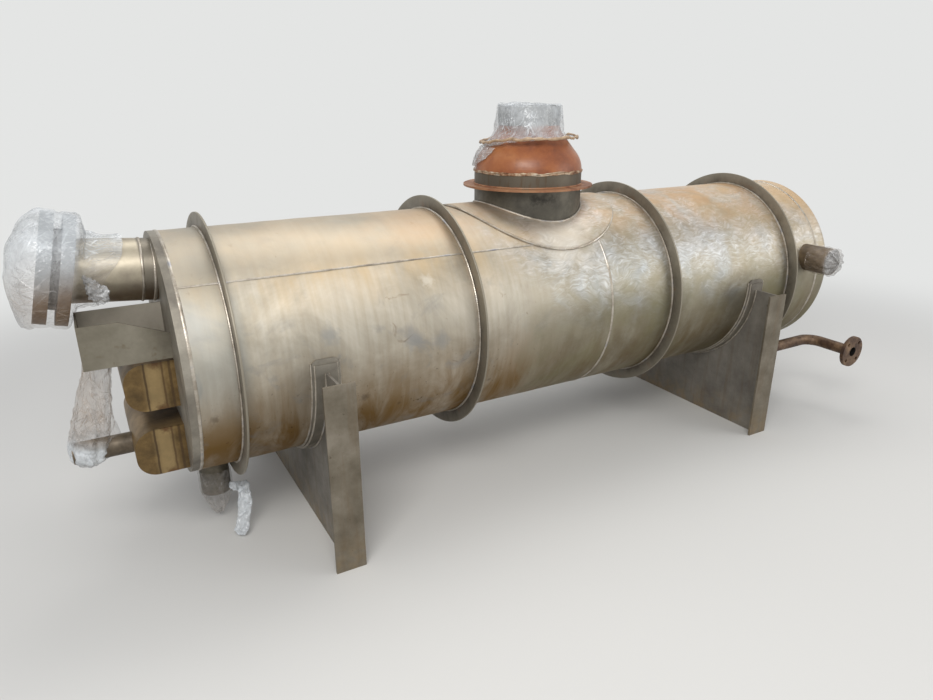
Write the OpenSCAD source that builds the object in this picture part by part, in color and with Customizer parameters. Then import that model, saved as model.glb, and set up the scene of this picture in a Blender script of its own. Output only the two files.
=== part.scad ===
// Horizontal shell and tube heat exchanger on two plate saddles.
// X runs along the shell from the inlet end, -Y is the side of the drain flange, Z is up.
// The origin is the middle of the fixed saddle's foot, on the ground.

/* [Shell] */
// Outside diameter of the shell
shell_od = 900; // [860:10:940]
// Thickness of the shell plate
shell_wall = 8; // [6:1:12]
// Length from the inlet rim to the weld of the closing head
shell_len = 3165; // [3100:5:3300]
// Distance from the inlet rim to the girth weld between the two courses
seam_x = 1764; // [1700:2:1840]
// Height of the shell axis above the ground
axis_h = 750; // [720:5:800]
// Gap at every curved seat, where the root of the weld lies
fit_gap = 0.3; // [0.1:0.1:0.6]

/* [Ends] */
// Thickness of the flat plate that closes the inlet end
end_plate_t = 30; // [20:1:45]
// Depth of the flanged flat head from its weld to its face
head_depth = 105; // [95:1:110]
// Outside radius of the head's knuckle
head_knuckle_r = 45; // [25:1:60]
// Thickness of the head
head_wall = 8; // [6:1:12]

/* [Stiffening rings] */
// Height of a ring above the shell
ring_h = 54; // [40:1:60]
// Thickness of a ring plate
ring_t = 8; // [6:1:14]
// Middle of the first ring from the inlet rim
ring_1_x = 172; // [165:1:200]
// Middle of the second ring from the inlet rim
ring_2_x = 1094; // [1050:1:1140]
// Middle of the third ring from the inlet rim
ring_3_x = 2123; // [2100:1:2200]
// Middle of the fourth ring, back from the weld of the head
ring_4_back = 233; // [225:1:245]

/* [Saddles] */
// Distance from the inlet rim to the fixed saddle
fixed_saddle_x = 460; // [420:2:500]
// Distance of the sliding saddle back from the weld of the head
sliding_saddle_back = 479; // [465:1:500]
// How far a saddle stands out past the shell on each side
saddle_reach = 140; // [110:2:170]
// How far a saddle's top edge lies below the shell axis
saddle_drop = 10; // [0:1:40]
// Thickness of the saddle web
web_t = 10; // [8:1:16]
// Width of a side plate along the shell
side_plate_w = 115; // [90:1:140]
// Thickness of a side plate
side_plate_t = 10; // [8:1:16]
// Width of the wear pad between shell and cradle
wear_pad_w = 103; // [90:1:120]
// Thickness of the wear pad
wear_pad_t = 6; // [4:1:10]
// Height of the wear pad's ends above the shell axis
wear_pad_rise = 40; // [25:1:60]
// Radius of the wear pad's corners
wear_pad_corner_r = 24; // [5:1:40]
// Width of the cradle strip on the pad
cradle_w = 80; // [60:1:88]
// Thickness of the cradle strip
cradle_t = 8; // [6:1:12]
// Height of the cradle's ends above the shell axis
cradle_rise = 22; // [5:1:24]

/* [Top nozzle] */
// Distance from the inlet rim to the nozzle axis
neck_x = 1602; // [1590:1:1630]
// Outside diameter of the neck
neck_od = 480; // [440:5:500]
// Thickness of the neck plate
neck_wall = 8; // [6:1:12]
// Height of the neck's top above the top of the shell
neck_rise = 138; // [125:1:170]
// Radius of the reinforcing disc, measured along the shell
nozzle_pad_r = 395; // [330:1:410]
// Thickness of the reinforcing disc
nozzle_pad_t = 8; // [6:1:12]
// Outside diameter of the flat collar on the neck
collar_od = 580; // [540:1:640]
// Thickness of the collar
collar_t = 8; // [6:1:14]
// Height of the collar's underside above the top of the shell
collar_rise = 71; // [60:1:95]
// Height of the reducer
reducer_h = 190; // [186:1:230]
// Thickness of the reducer
reducer_wall = 8; // [6:1:12]
// Outside radius of the reducer's shoulder
shoulder_r = 120; // [80:1:172]
// Outside radius of the reducer's throat
throat_r = 50; // [20:1:52]
// Outside diameter of the pipe end above the reducer
top_pipe_od = 273; // [270:1:300]
// Thickness of the pipe end
top_pipe_wall = 8; // [6:1:12]
// Length of the pipe end
top_pipe_len = 84; // [40:1:120]

/* [Inlet] */
// Depth of the inlet's axis below the top of the shell
inlet_sink = 130; // [125:1:138]
// Outside diameter of the inlet pipe
inlet_od = 219; // [200:1:224]
// Thickness of the inlet pipe
inlet_wall = 6; // [5:1:10]
// Distance from the end plate to the middle of the inlet flange's back
inlet_len = 252; // [230:1:280]
// Slope of the inlet pipe, upwards from the end plate
inlet_slope = 5; // [0:1:6]
// Lean of the inlet flanges back over the pipe
inlet_lean = 14; // [8:1:16]
// Outside diameter of the inlet flanges
inlet_flange_od = 375; // [340:1:380]
// Thickness of the inlet flange
inlet_flange_t = 38; // [30:1:45]
// Outside diameter of the spacer ring between the flanges
spacer_od = 273; // [240:1:290]
// Thickness of the spacer ring
spacer_t = 25; // [10:1:30]
// Thickness of the blind flange
blind_t = 41; // [30:1:50]

/* [Return boxes] */
// Height of a return box
box_h = 172; // [150:2:184]
// How far a return box stands out of the end plate
box_depth = 168; // [150:1:200]
// Radius of a return box's outer corners
box_corner_r = 68; // [30:1:74]
// Length of a return box over its covers
box_len = 450; // [400:5:500]
// Depth of the upper box's middle below the shell axis
box_upper_drop = 38; // [36:1:46]
// Distance between the middles of the two boxes
box_pitch = 246; // [236:1:256]
// Thickness of the rolled box plate
box_wall = 6; // [4:1:10]
// Thickness of a box cover
cover_t = 10; // [6:1:14]

/* [Bracket] */
// Distance between the bracket and the back of the inlet flange
bracket_gap = 12; // [6:1:30]
// Distance of the bracket's front face from the shell axis
bracket_front = 248; // [230:1:260]
// Distance of the bracket's back plate from the shell axis
bracket_back = 56; // [40:1:80]
// Height of the bracket's bottom edge above the upper return box
bracket_rise = 16; // [12:1:27]
// Depth of the bracket's level top edge below the inlet's axis
bracket_drop = 108; // [106:1:140]
// Depth of its sloped top edge below the inlet's axis, at the end plate
bracket_low_drop = 167; // [145:1:200]
// Length of the level part of the top edge
bracket_level = 122; // [80:1:150]
// Thickness of the bracket plates
bracket_t = 6; // [4:1:10]

/* [Small nozzles] */
// Outside diameter of the stub on the lower return box
stub_od = 76; // [60:1:80]
// Length of that stub out from the end plate
stub_len = 360; // [320:1:380]
// Distance of that stub from the shell axis
stub_y = 90; // [60:1:120]
// Wall of the stub, the outlet and the side nozzle
small_wall = 5; // [4:1:8]
// Distance from the inlet rim to the bottom outlet
outlet_x = 106; // [92:1:108]
// Outside diameter of the bottom outlet
outlet_od = 114; // [102:1:116]
// Length of the bottom outlet below the shell
outlet_out = 160; // [110:1:190]
// Distance of the side nozzle back from the weld of the head
side_nozzle_back = 80; // [76:1:100]
// Outside diameter of the side nozzle
side_nozzle_od = 133; // [114:1:140]
// Height of the side nozzle above the shell axis
side_nozzle_z = 107; // [60:1:140]
// Reach of the side nozzle from the side of the shell
side_nozzle_out = 127; // [90:1:170]

/* [Drain] */
// Outside diameter of the drain pipe
drain_od = 57; // [54:1:60]
// Thickness of the drain pipe
drain_wall = 3.5; // [3:0.5:5]
// Middle of the drain's stub on the shell, back from the weld of the head
drain_back = 335; // [315:1:340]
// Distance of the drain pipe's middle from the shell
drain_off = 102; // [98:1:120]
// Radius of the drain's two bends
bend_r = 76; // [70:1:80]
// Overhang of the drain's last leg past the weld of the head
drain_over = 131; // [120:1:180]
// Distance of the drain flange's face from the side of the shell
drain_out = 202; // [180:1:270]
// Outside diameter of the drain flange
drain_flange_od = 165; // [150:1:165]
// Thickness of the drain flange
drain_flange_t = 18; // [14:1:22]
// Bolt circle of the drain flange
drain_pcd = 125; // [110:1:128]
// Diameter of a bolt hole
drain_hole_d = 18; // [14:1:18]
// Number of bolt holes
drain_holes = 4; // [4:1:8]

/* [Wrapping film] */
// Thickness of the wrapped layers of film
film_t = 2; // [1.5:0.5:3]
// Distance between film and metal
film_gap = 0.5; // [0.3:0.1:0.8]

/* [Hidden] */
$fn = 96;
shell_r = shell_od / 2;
shell_in_r = shell_r - shell_wall;
seat_r = shell_r + fit_gap;
ring_4_x = shell_len - ring_4_back;
sliding_saddle_x = shell_len - sliding_saddle_back;
side_nozzle_x = shell_len - side_nozzle_back;
drain_x = shell_len - drain_back;
drain_end_x = shell_len + drain_over;
drain_r = shell_r + drain_off;
drain_reach = shell_r + drain_out;
// The drain leaves the shell halfway between its side and its bottom
drain_angle = 45;
drain_y = -drain_r * cos(drain_angle);
drain_z = -drain_r * sin(drain_angle);
pad_seat_r = seat_r + wear_pad_t + fit_gap;
web_seat_r = pad_seat_r + cradle_t + fit_gap;
saddle_w = shell_od + 2 * saddle_reach;
neck_top = shell_r + neck_rise;
collar_z = shell_r + collar_rise;
reducer_top = neck_top + reducer_h;
top_pipe_top = reducer_top + top_pipe_len;
inlet_z = shell_r - inlet_sink;
box_lower_drop = box_upper_drop + box_pitch;
bracket_bottom = box_h / 2 - box_upper_drop + bracket_rise;
bracket_top = inlet_z - bracket_drop;
bracket_low_top = inlet_z - bracket_low_drop;
inlet_end_z = inlet_z + inlet_len * tan(inlet_slope);
bracket_len = inlet_len + (inlet_end_z - bracket_top) * tan(inlet_lean) - bracket_gap;
outlet_drop = shell_r + outlet_out;
side_nozzle_reach = shell_r + side_nozzle_out;
cut = 1;

// Moves a piece from the vessel's own frame, on the axis at the inlet rim, to the ground frame
module placed() {
    translate([-fixed_saddle_x, 0, axis_h]) children();
}

// Solid bar along the shell
module bar_x(r, x0, x1) {
    translate([x0, 0, 0]) rotate([0, 90, 0]) cylinder(r = r, h = x1 - x0);
}

// Pipe along the shell
module tube_x(r_out, r_in, x0, x1) {
    difference() {
        bar_x(r_out, x0, x1);
        bar_x(r_in, x0 - cut, x1 + cut);
    }
}

// Pipe that stands on its own axis
module tube_z(r_out, r_in, z0, z1) {
    translate([0, 0, z0]) difference() {
        cylinder(r = r_out, h = z1 - z0);
        translate([0, 0, -cut]) cylinder(r = r_in, h = z1 - z0 + 2 * cut);
    }
}

// Directions of the branches, each with its own axis along +Z from the shell axis
module on_top_nozzle() { translate([neck_x, 0, 0]) children(); }
module on_outlet() { translate([outlet_x, 0, 0]) rotate([180, 0, 0]) children(); }
module on_side_nozzle() { translate([side_nozzle_x, 0, side_nozzle_z]) rotate([90, 0, 0]) children(); }
module on_drain_stub() { translate([drain_x, 0, 0]) rotate([90 + drain_angle, 0, 0]) children(); }

// Holes that the branches need in the shell
module shell_holes() {
    on_top_nozzle() cylinder(r = neck_od / 2 - neck_wall, h = shell_od);
    on_outlet() cylinder(r = outlet_od / 2 - small_wall, h = shell_od);
    on_side_nozzle() cylinder(r = side_nozzle_od / 2 - small_wall, h = shell_od);
    on_drain_stub() cylinder(r = drain_od / 2 - drain_wall, h = shell_od);
}

// Shell, head and end plate
module shell_course(x0, x1) {
    placed() difference() {
        tube_x(shell_r, shell_in_r, x0, x1);
        shell_holes();
    }
}

module shell_left_course() { color("#b3a993") shell_course(end_plate_t, seam_x); }
module shell_right_course() { color("#b9b5aa") shell_course(seam_x, shell_len); }

module left_end_plate() {
    color("#8d877b") placed() difference() {
        bar_x(shell_r, 0, end_plate_t);
        on_inlet_pipe() translate([0, 0, -inlet_len])
            cylinder(r = inlet_od / 2 - inlet_wall, h = 2 * inlet_len);
    }
}

// Outline of a dished disc: a straight flange, a knuckle and a flat face
module dish_outline(r, depth, knuckle) {
    square([r - knuckle, depth]);
    square([r, depth - knuckle]);
    translate([r - knuckle, depth - knuckle]) circle(r = knuckle);
}

module right_head() {
    inner_knuckle = head_knuckle_r - head_wall;
    color("#a8a18f") placed() translate([shell_len, 0, 0]) rotate([0, 90, 0]) rotate_extrude() {
        difference() {
            dish_outline(shell_r, head_depth, head_knuckle_r);
            translate([0, -cut])
                dish_outline(shell_r - head_wall, head_depth - head_wall + cut, inner_knuckle);
            translate([-shell_od, -cut]) square([shell_od, shell_od]);
        }
    }
}

// Flat rings that stiffen the shell
module stiffening_ring(x) {
    color("#8f8778") placed() tube_x(seat_r + ring_h, seat_r, x - ring_t / 2, x + ring_t / 2);
}

module stiffening_ring_1() { stiffening_ring(ring_1_x); }
module stiffening_ring_2() { stiffening_ring(ring_2_x); }
module stiffening_ring_3() { stiffening_ring(ring_3_x); }
module stiffening_ring_4() { stiffening_ring(ring_4_x); }

// Top nozzle. A flat disc of radius r, rolled round the shell, has this outline from above
function rolled_disc(r, roll_r) =
    [for (a = [0 : 5 : 355]) [r * cos(a), roll_r * sin(r * sin(a) / roll_r * 180 / PI)]];

module nozzle_pad() {
    color("#aaa18c") placed() difference() {
        intersection() {
            tube_x(seat_r + nozzle_pad_t, seat_r, neck_x - shell_od, neck_x + shell_od);
            on_top_nozzle() linear_extrude(height = shell_od)
                polygon(rolled_disc(nozzle_pad_r, seat_r));
        }
        on_top_nozzle() cylinder(r = neck_od / 2 + fit_gap, h = shell_od);
    }
}

module nozzle_neck() {
    color("#6f6a60") placed() difference() {
        on_top_nozzle() tube_z(neck_od / 2, neck_od / 2 - neck_wall, 0, neck_top);
        bar_x(seat_r, neck_x - shell_od, neck_x + shell_od);
    }
}

module nozzle_collar() {
    color("#a5734a") placed() on_top_nozzle()
        tube_z(collar_od / 2, neck_od / 2 + fit_gap, collar_z, collar_z + collar_t);
}

// Profile of the reducer: a round shoulder, a straight cone tangent to it and a hollow throat.
// The cone's angle from the axis solves (s - d) cos(a) + h sin(a) = s,
// where s is the sum of the two radii and d the step in radius.
function cone_angle(d, h, s) = atan2(h, s - d) - acos(s / norm([s - d, h]));
function reducer_profile(r_low, r_high, h, r_shoulder, r_throat) =
    let (a = cone_angle(r_low - r_high, h, r_shoulder + r_throat), steps = 8)
    concat(
        [for (i = [0 : steps]) [
            r_low - r_shoulder * (1 - cos(a * i / steps)),
            r_shoulder * sin(a * i / steps)]],
        [for (i = [steps : -1 : 0]) [
            r_high + r_throat * (1 - cos(a * i / steps)),
            h - r_throat * sin(a * i / steps)]]);

// The outer profile, moved inwards by the thickness of the wall
function reducer_outer() =
    reducer_profile(neck_od / 2, top_pipe_od / 2, reducer_h, shoulder_r, throat_r);
function reducer_inner() =
    reducer_profile(neck_od / 2 - reducer_wall, top_pipe_od / 2 - reducer_wall, reducer_h,
        shoulder_r - reducer_wall, throat_r + reducer_wall);
function reversed(list) = [for (i = [len(list) - 1 : -1 : 0]) list[i]];

module reducer() {
    color("#a4562a") placed() on_top_nozzle() translate([0, 0, neck_top]) rotate_extrude()
        polygon(concat(reducer_outer(), reversed(reducer_inner())));
}

module top_pipe_end() {
    color("#8a6b50") placed() on_top_nozzle()
        tube_z(top_pipe_od / 2, top_pipe_od / 2 - top_pipe_wall, reducer_top, top_pipe_top);
}

// Film tied over the top pipe, with a skirt that stands off the reducer's shoulder
skirt_lift = 132;
skirt_z = neck_top + skirt_lift;
skirt_r = 214;
skirt_rise = 14;

module top_film() {
    pipe_r = top_pipe_od / 2 + film_gap;
    top_z = top_pipe_top + film_gap;
    shoulder = reducer_profile(neck_od / 2, top_pipe_od / 2, reducer_h, shoulder_r, throat_r);
    over = [for (p = shoulder) if (p[1] > skirt_z - neck_top) [p[0] + 2 * film_gap, p[1] + neck_top]];
    inner = concat([[skirt_r, skirt_z + skirt_rise - film_t]], over, [[pipe_r, top_z], [0, top_z]]);
    outer = concat([[0, top_z + film_t], [pipe_r + film_t, top_z + film_t]],
        [for (p = reversed(over)) p + [film_t, film_t]], [[skirt_r, skirt_z + skirt_rise]]);
    color("#d9dcdc", 0.6) placed() on_top_nozzle() rotate_extrude() polygon(concat(inner, outer));
}

// Inlet pipe, which slopes up from the end plate, and its flange, spacer ring and blind flange,
// which lean back over it. Both frames have their axis along +Z.
module on_inlet_pipe() { translate([0, 0, inlet_z]) rotate([0, inlet_slope - 90, 0]) children(); }
module on_inlet_face() {
    translate([-inlet_len, 0, inlet_end_z]) rotate([0, inlet_lean - 90, 0]) children();
}

inlet_bore_r = inlet_od / 2 - inlet_wall;
blind_z = inlet_flange_t + spacer_t;
blind_end_z = blind_z + blind_t;

module inlet_pipe() {
    color("#a79d88") placed() difference() {
        on_inlet_pipe() tube_z(inlet_od / 2, inlet_bore_r, -inlet_od, inlet_len + inlet_od);
        translate([0, -inlet_od, inlet_z - inlet_od]) cube([shell_od, 2 * inlet_od, 2 * inlet_od]);
        on_inlet_face() cylinder(r = shell_od, h = 2 * inlet_od);
    }
}

module inlet_flange() {
    color("#7d6450") placed() on_inlet_face()
        tube_z(inlet_flange_od / 2, inlet_bore_r, 0, inlet_flange_t);
}

module inlet_spacer() {
    color("#5a4a3e") placed() on_inlet_face()
        tube_z(spacer_od / 2, inlet_bore_r, inlet_flange_t, blind_z);
}

module inlet_blind_flange() {
    color("#7d6450") placed() on_inlet_face()
        translate([0, 0, blind_z]) cylinder(r = inlet_flange_od / 2, h = blind_t);
}

// Film wound round the flanges, gathered on the pipe and bulging over the blind flange
film_bulge = 95;
film_loose = 10;
film_gather = 70;
film_gather_r = inlet_od / 2 + 14;
inlet_film_points = 12;

module inlet_film() {
    wide_r = inlet_flange_od / 2 + film_loose;
    front_z = blind_end_z + film_gap;
    bulge = [for (i = [0 : inlet_film_points])
        let (a = 90 * i / inlet_film_points) [wide_r * cos(a), front_z + film_bulge * sin(a)]];
    outer_bulge = [for (i = [inlet_film_points : -1 : 0])
        let (a = 90 * i / inlet_film_points)
        [(wide_r + film_t) * cos(a), front_z + (film_bulge + film_t) * sin(a)]];
    color("#d9dcdc", 0.6) placed() on_inlet_face() rotate_extrude()
        polygon(concat(
            [[film_gather_r, -film_gather], [film_gather_r, -film_gap - film_t],
                [wide_r, -film_gap]],
            bulge, outer_bulge,
            [[wide_r + film_t, -film_gap - film_t],
                [film_gather_r + film_t, -film_gap - 2 * film_t],
                [film_gather_r + film_t, -film_gather]]));
}

// Return boxes of plate rolled round the outer corners, with flat covers. The outline has its
// open side on the end plate.
module box_bar(h, depth, corner, len) {
    translate([0, 0, -len / 2]) {
        translate([-depth + corner, -h / 2, 0]) cube([depth - corner, h, len]);
        translate([-depth, -h / 2 + corner, 0]) cube([depth, h - 2 * corner, len]);
        for (side = [-1, 1]) translate([-depth + corner, side * (h / 2 - corner), 0])
            cylinder(r = corner, h = len);
    }
}

module on_box(drop) { translate([0, 0, -drop]) rotate([90, 0, 0]) children(); }

module return_box(drop) {
    inner_len = box_len - 2 * cover_t;
    color("#a8854e") placed() on_box(drop) difference() {
        box_bar(box_h, box_depth, box_corner_r, inner_len);
        translate([cut, 0, 0])
            box_bar(box_h - 2 * box_wall, box_depth - box_wall + cut, box_corner_r - box_wall, box_len);
    }
}

module return_box_covers(drop) {
    color("#b5904f") placed() on_box(drop) for (side = [-1, 1])
        translate([0, 0, side * (box_len - cover_t) / 2])
            box_bar(box_h, box_depth, box_corner_r, cover_t);
}

module return_box_upper() { return_box(box_upper_drop); }
module return_box_upper_covers() { return_box_covers(box_upper_drop); }
module return_box_lower() { return_box(box_lower_drop); }
module return_box_lower_covers() { return_box_covers(box_lower_drop); }

// Open bracket of three plates above the return boxes
module bracket_outline() {
    polygon([[0, bracket_bottom], [0, bracket_low_top], [-bracket_len + bracket_level, bracket_top],
        [-bracket_len, bracket_top], [-bracket_len, bracket_bottom]]);
}

module bracket_front_plate() {
    color("#9b968b") placed() translate([0, -bracket_front + bracket_t, 0]) rotate([90, 0, 0])
        linear_extrude(height = bracket_t) bracket_outline();
}

module bracket_back_plate() {
    color("#9b968b") placed() translate([-bracket_len, -bracket_back, bracket_bottom])
        cube([bracket_len, bracket_t, bracket_top - bracket_bottom]);
}

module bracket_end_plate() {
    span = bracket_front - bracket_t - bracket_back;
    color("#8f8a80") placed() translate([-bracket_len, -bracket_front + bracket_t, bracket_bottom])
        cube([bracket_t, span, bracket_top - bracket_bottom]);
}

// Stub on the lower return box, coped to the box's rolled corners
module lower_stub_pipe() {
    color("#7a6248") placed() difference() {
        translate([0, -stub_y, -box_lower_drop])
            tube_x(stub_od / 2, stub_od / 2 - small_wall, -stub_len, -box_depth + box_corner_r);
        on_box(box_lower_drop) box_bar(box_h + 2 * fit_gap, box_depth + fit_gap,
            box_corner_r + fit_gap, box_len);
    }
}

// Film bag over the stub's end, drawn up to the bracket's underside
bag_cover = 80;
bag_low_r = 56;
bag_top_r = 40;
bag_lean = 14;
bag_top_gap = 8;

module lower_stub_film() {
    r_in = stub_od / 2 + film_gap;
    x_end = -stub_len - film_gap;
    bag_low = -box_lower_drop - r_in - film_t;
    bag_high = bracket_bottom - bag_top_gap;
    bag_h = (bag_high - bag_low - bag_top_r * sin(bag_lean)) / cos(bag_lean);
    color("#d9dcdc", 0.6) placed() translate([0, -stub_y, 0]) difference() {
        union() {
            translate([0, 0, -box_lower_drop]) bar_x(r_in + film_t, x_end - film_t, -stub_len + bag_cover);
            translate([-stub_len + bag_cover / 2, 0, bag_low]) rotate([0, bag_lean, 0])
                cylinder(r1 = bag_low_r, r2 = bag_top_r, h = bag_h);
        }
        translate([0, 0, -box_lower_drop]) bar_x(r_in, x_end, -box_depth);
    }
}

// Bottom outlet with its wrapped end
module bottom_outlet_pipe() {
    color("#8b8373") placed() difference() {
        on_outlet() tube_z(outlet_od / 2, outlet_od / 2 - small_wall, 0, outlet_drop);
        bar_x(seat_r, -cut, outlet_x + shell_od);
    }
}

outlet_wrap_len = 90;
outlet_tip_r = 26;
outlet_tip_len = 100;

module bottom_outlet_film() {
    r_in = outlet_od / 2 + film_gap;
    end_z = outlet_drop + film_gap;
    color("#d9dcdc", 0.6) placed() on_outlet() rotate_extrude() polygon([
        [r_in, outlet_drop - outlet_wrap_len], [r_in, end_z], [0, end_z], [0, end_z + outlet_tip_len],
        [outlet_tip_r, end_z + outlet_tip_len], [r_in + film_t, end_z + film_t],
        [r_in + film_t, outlet_drop - outlet_wrap_len]]);
}

// Loose tail of that film, which hangs from it to the ground on the drain side
tail_r = [14, 20, 20, 20, 12];
tail_faces = 16;
tail_start = outlet_od / 2 + film_gap + film_t + fit_gap + tail_r[0];
tail_hook = 22;
tail_knots = [[88, -80, 34], [84, -112, -24], [62, -152, -80]];
tail_toe = [40, -185, tail_r[4] + fit_gap - axis_h];
tail_path = concat([[tail_start * cos(45), -tail_start * sin(45), tail_hook - outlet_drop]],
    [for (knot = tail_knots) knot - [0, 0, outlet_drop]], [tail_toe]);

module film_tail() {
    color("#d9dcdc", 0.6) placed() translate([outlet_x, 0, 0]) for (i = [0 : len(tail_path) - 2]) hull() {
        translate(tail_path[i]) sphere(r = tail_r[i], $fn = tail_faces);
        translate(tail_path[i + 1]) sphere(r = tail_r[i + 1], $fn = tail_faces);
    }
}

// Side nozzle beside the head, wrapped over its end
module side_nozzle_pipe() {
    color("#8f7555") placed() difference() {
        on_side_nozzle() tube_z(side_nozzle_od / 2, side_nozzle_od / 2 - small_wall, 0, side_nozzle_reach);
        bar_x(seat_r, side_nozzle_x - shell_od, side_nozzle_x + shell_od);
    }
}

side_wrap_len = 70;
side_bulge = 40;
side_bulge_points = 6;

module side_nozzle_film() {
    r_in = side_nozzle_od / 2 + film_gap;
    end_z = side_nozzle_reach + film_gap;
    bulge = [for (i = [0 : side_bulge_points])
        let (a = 90 * i / side_bulge_points) [r_in * cos(a), end_z + side_bulge * sin(a)]];
    outer_bulge = [for (i = [side_bulge_points : -1 : 0])
        let (a = 90 * i / side_bulge_points)
        [(r_in + film_t) * cos(a), end_z + (side_bulge + film_t) * sin(a)]];
    color("#d9dcdc", 0.6) placed() on_side_nozzle() rotate_extrude() polygon(concat(
        [[r_in, side_nozzle_reach - side_wrap_len]], bulge, outer_bulge,
        [[r_in + film_t, side_nozzle_reach - side_wrap_len]]));
}

// Drain: a stub and a bend on the shell, a run past the head, a bend and a flanged leg
module drain_bend() {
    rotate_extrude(angle = 90) translate([bend_r, 0]) difference() {
        circle(d = drain_od);
        circle(d = drain_od - 2 * drain_wall);
    }
}

module drain_straight(h) { tube_z(drain_od / 2, drain_od / 2 - drain_wall, 0, h); }

module drain_pipe() {
    run_len = drain_end_x - drain_x - 2 * bend_r;
    color("#7b5236") placed() on_drain_stub() {
        difference() {
            drain_straight(drain_r - bend_r);
            bar_x(seat_r, -shell_od, shell_od);
        }
        translate([bend_r, 0, drain_r - bend_r]) rotate([90, 0, 180]) drain_bend();
        translate([bend_r, 0, drain_r]) rotate([0, 90, 0]) drain_straight(run_len);
    }
}

module drain_leg() {
    leg_start = -drain_y + bend_r;
    color("#7b5236") placed() {
        translate([drain_end_x - bend_r, drain_y - bend_r, drain_z]) drain_bend();
        translate([drain_end_x, -leg_start, drain_z]) rotate([90, 0, 0])
            drain_straight(drain_reach - leg_start);
    }
}

module drain_flange() {
    color("#74492f") placed() translate([drain_end_x, -drain_reach, drain_z]) rotate([-90, 0, 0])
        difference() {
            cylinder(d = drain_flange_od, h = drain_flange_t);
            translate([0, 0, -cut]) cylinder(d = drain_od + 2 * fit_gap, h = drain_flange_t + 2 * cut);
            for (i = [0 : drain_holes - 1]) rotate(360 / drain_holes * (i + 0.5))
                translate([drain_pcd / 2, 0, -cut]) cylinder(d = drain_hole_d, h = drain_flange_t + 2 * cut);
        }
}

// Plate saddles: wear pad on the shell, cradle strip, web and two side plates
module rounded_top(w, top, corner) {
    translate([-w / 2, -shell_od]) square([w, shell_od + top - corner]);
    translate([-w / 2 + corner, -shell_od]) square([w - 2 * corner, shell_od + top]);
    for (side = [-1, 1]) translate([side * (w / 2 - corner), top - corner]) circle(r = corner);
}

module strip(x, r_in, t, w, rise, corner) {
    placed() translate([x, 0, 0]) intersection() {
        tube_x(r_in + t, r_in, -w, w);
        translate([0, shell_od, 0]) rotate([90, 0, 0]) linear_extrude(height = 2 * shell_od)
            rounded_top(w, rise, corner);
    }
}

module saddle_pad(x) {
    color("#8c8474") strip(x, seat_r, wear_pad_t, wear_pad_w, wear_pad_rise, wear_pad_corner_r);
}

cradle_corner_r = 2;
module saddle_cradle(x) {
    color("#877f70") strip(x, pad_seat_r, cradle_t, cradle_w, cradle_rise, cradle_corner_r);
}

module saddle_web(x) {
    half = saddle_w / 2 - side_plate_t;
    color("#7f776a") placed() difference() {
        translate([x - web_t / 2, -half, -axis_h]) cube([web_t, 2 * half, axis_h - saddle_drop]);
        bar_x(web_seat_r, x - shell_od, x + shell_od);
    }
}

module saddle_side_plates(x) {
    color("#a09a8c") placed() for (side = [-1, 1])
        translate([x - side_plate_w / 2, side * (saddle_w - side_plate_t) / 2 - side_plate_t / 2, -axis_h])
            cube([side_plate_w, side_plate_t, axis_h - saddle_drop]);
}

module left_saddle_web() { saddle_web(fixed_saddle_x); }
module left_saddle_side_plates() { saddle_side_plates(fixed_saddle_x); }
module left_saddle_pad() { saddle_pad(fixed_saddle_x); }
module left_saddle_cradle() { saddle_cradle(fixed_saddle_x); }
module right_saddle_web() { saddle_web(sliding_saddle_x); }
module right_saddle_side_plates() { saddle_side_plates(sliding_saddle_x); }
module right_saddle_pad() { saddle_pad(sliding_saddle_x); }
module right_saddle_cradle() { saddle_cradle(sliding_saddle_x); }

shell_left_course();
shell_right_course();
left_end_plate();
right_head();
stiffening_ring_1();
stiffening_ring_2();
stiffening_ring_3();
stiffening_ring_4();
nozzle_pad();
nozzle_neck();
nozzle_collar();
reducer();
top_pipe_end();
top_film();
inlet_pipe();
inlet_flange();
inlet_spacer();
inlet_blind_flange();
inlet_film();
return_box_upper();
return_box_upper_covers();
return_box_lower();
return_box_lower_covers();
bracket_front_plate();
bracket_back_plate();
bracket_end_plate();
lower_stub_pipe();
lower_stub_film();
bottom_outlet_pipe();
bottom_outlet_film();
film_tail();
side_nozzle_pipe();
side_nozzle_film();
drain_pipe();
drain_leg();
drain_flange();
left_saddle_web();
left_saddle_side_plates();
left_saddle_pad();
left_saddle_cradle();
right_saddle_web();
right_saddle_side_plates();
right_saddle_pad();
right_saddle_cradle();
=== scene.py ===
"""A horizontal shell and tube heat exchanger on two plate saddles, dressed round its CAD frame."""

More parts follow.
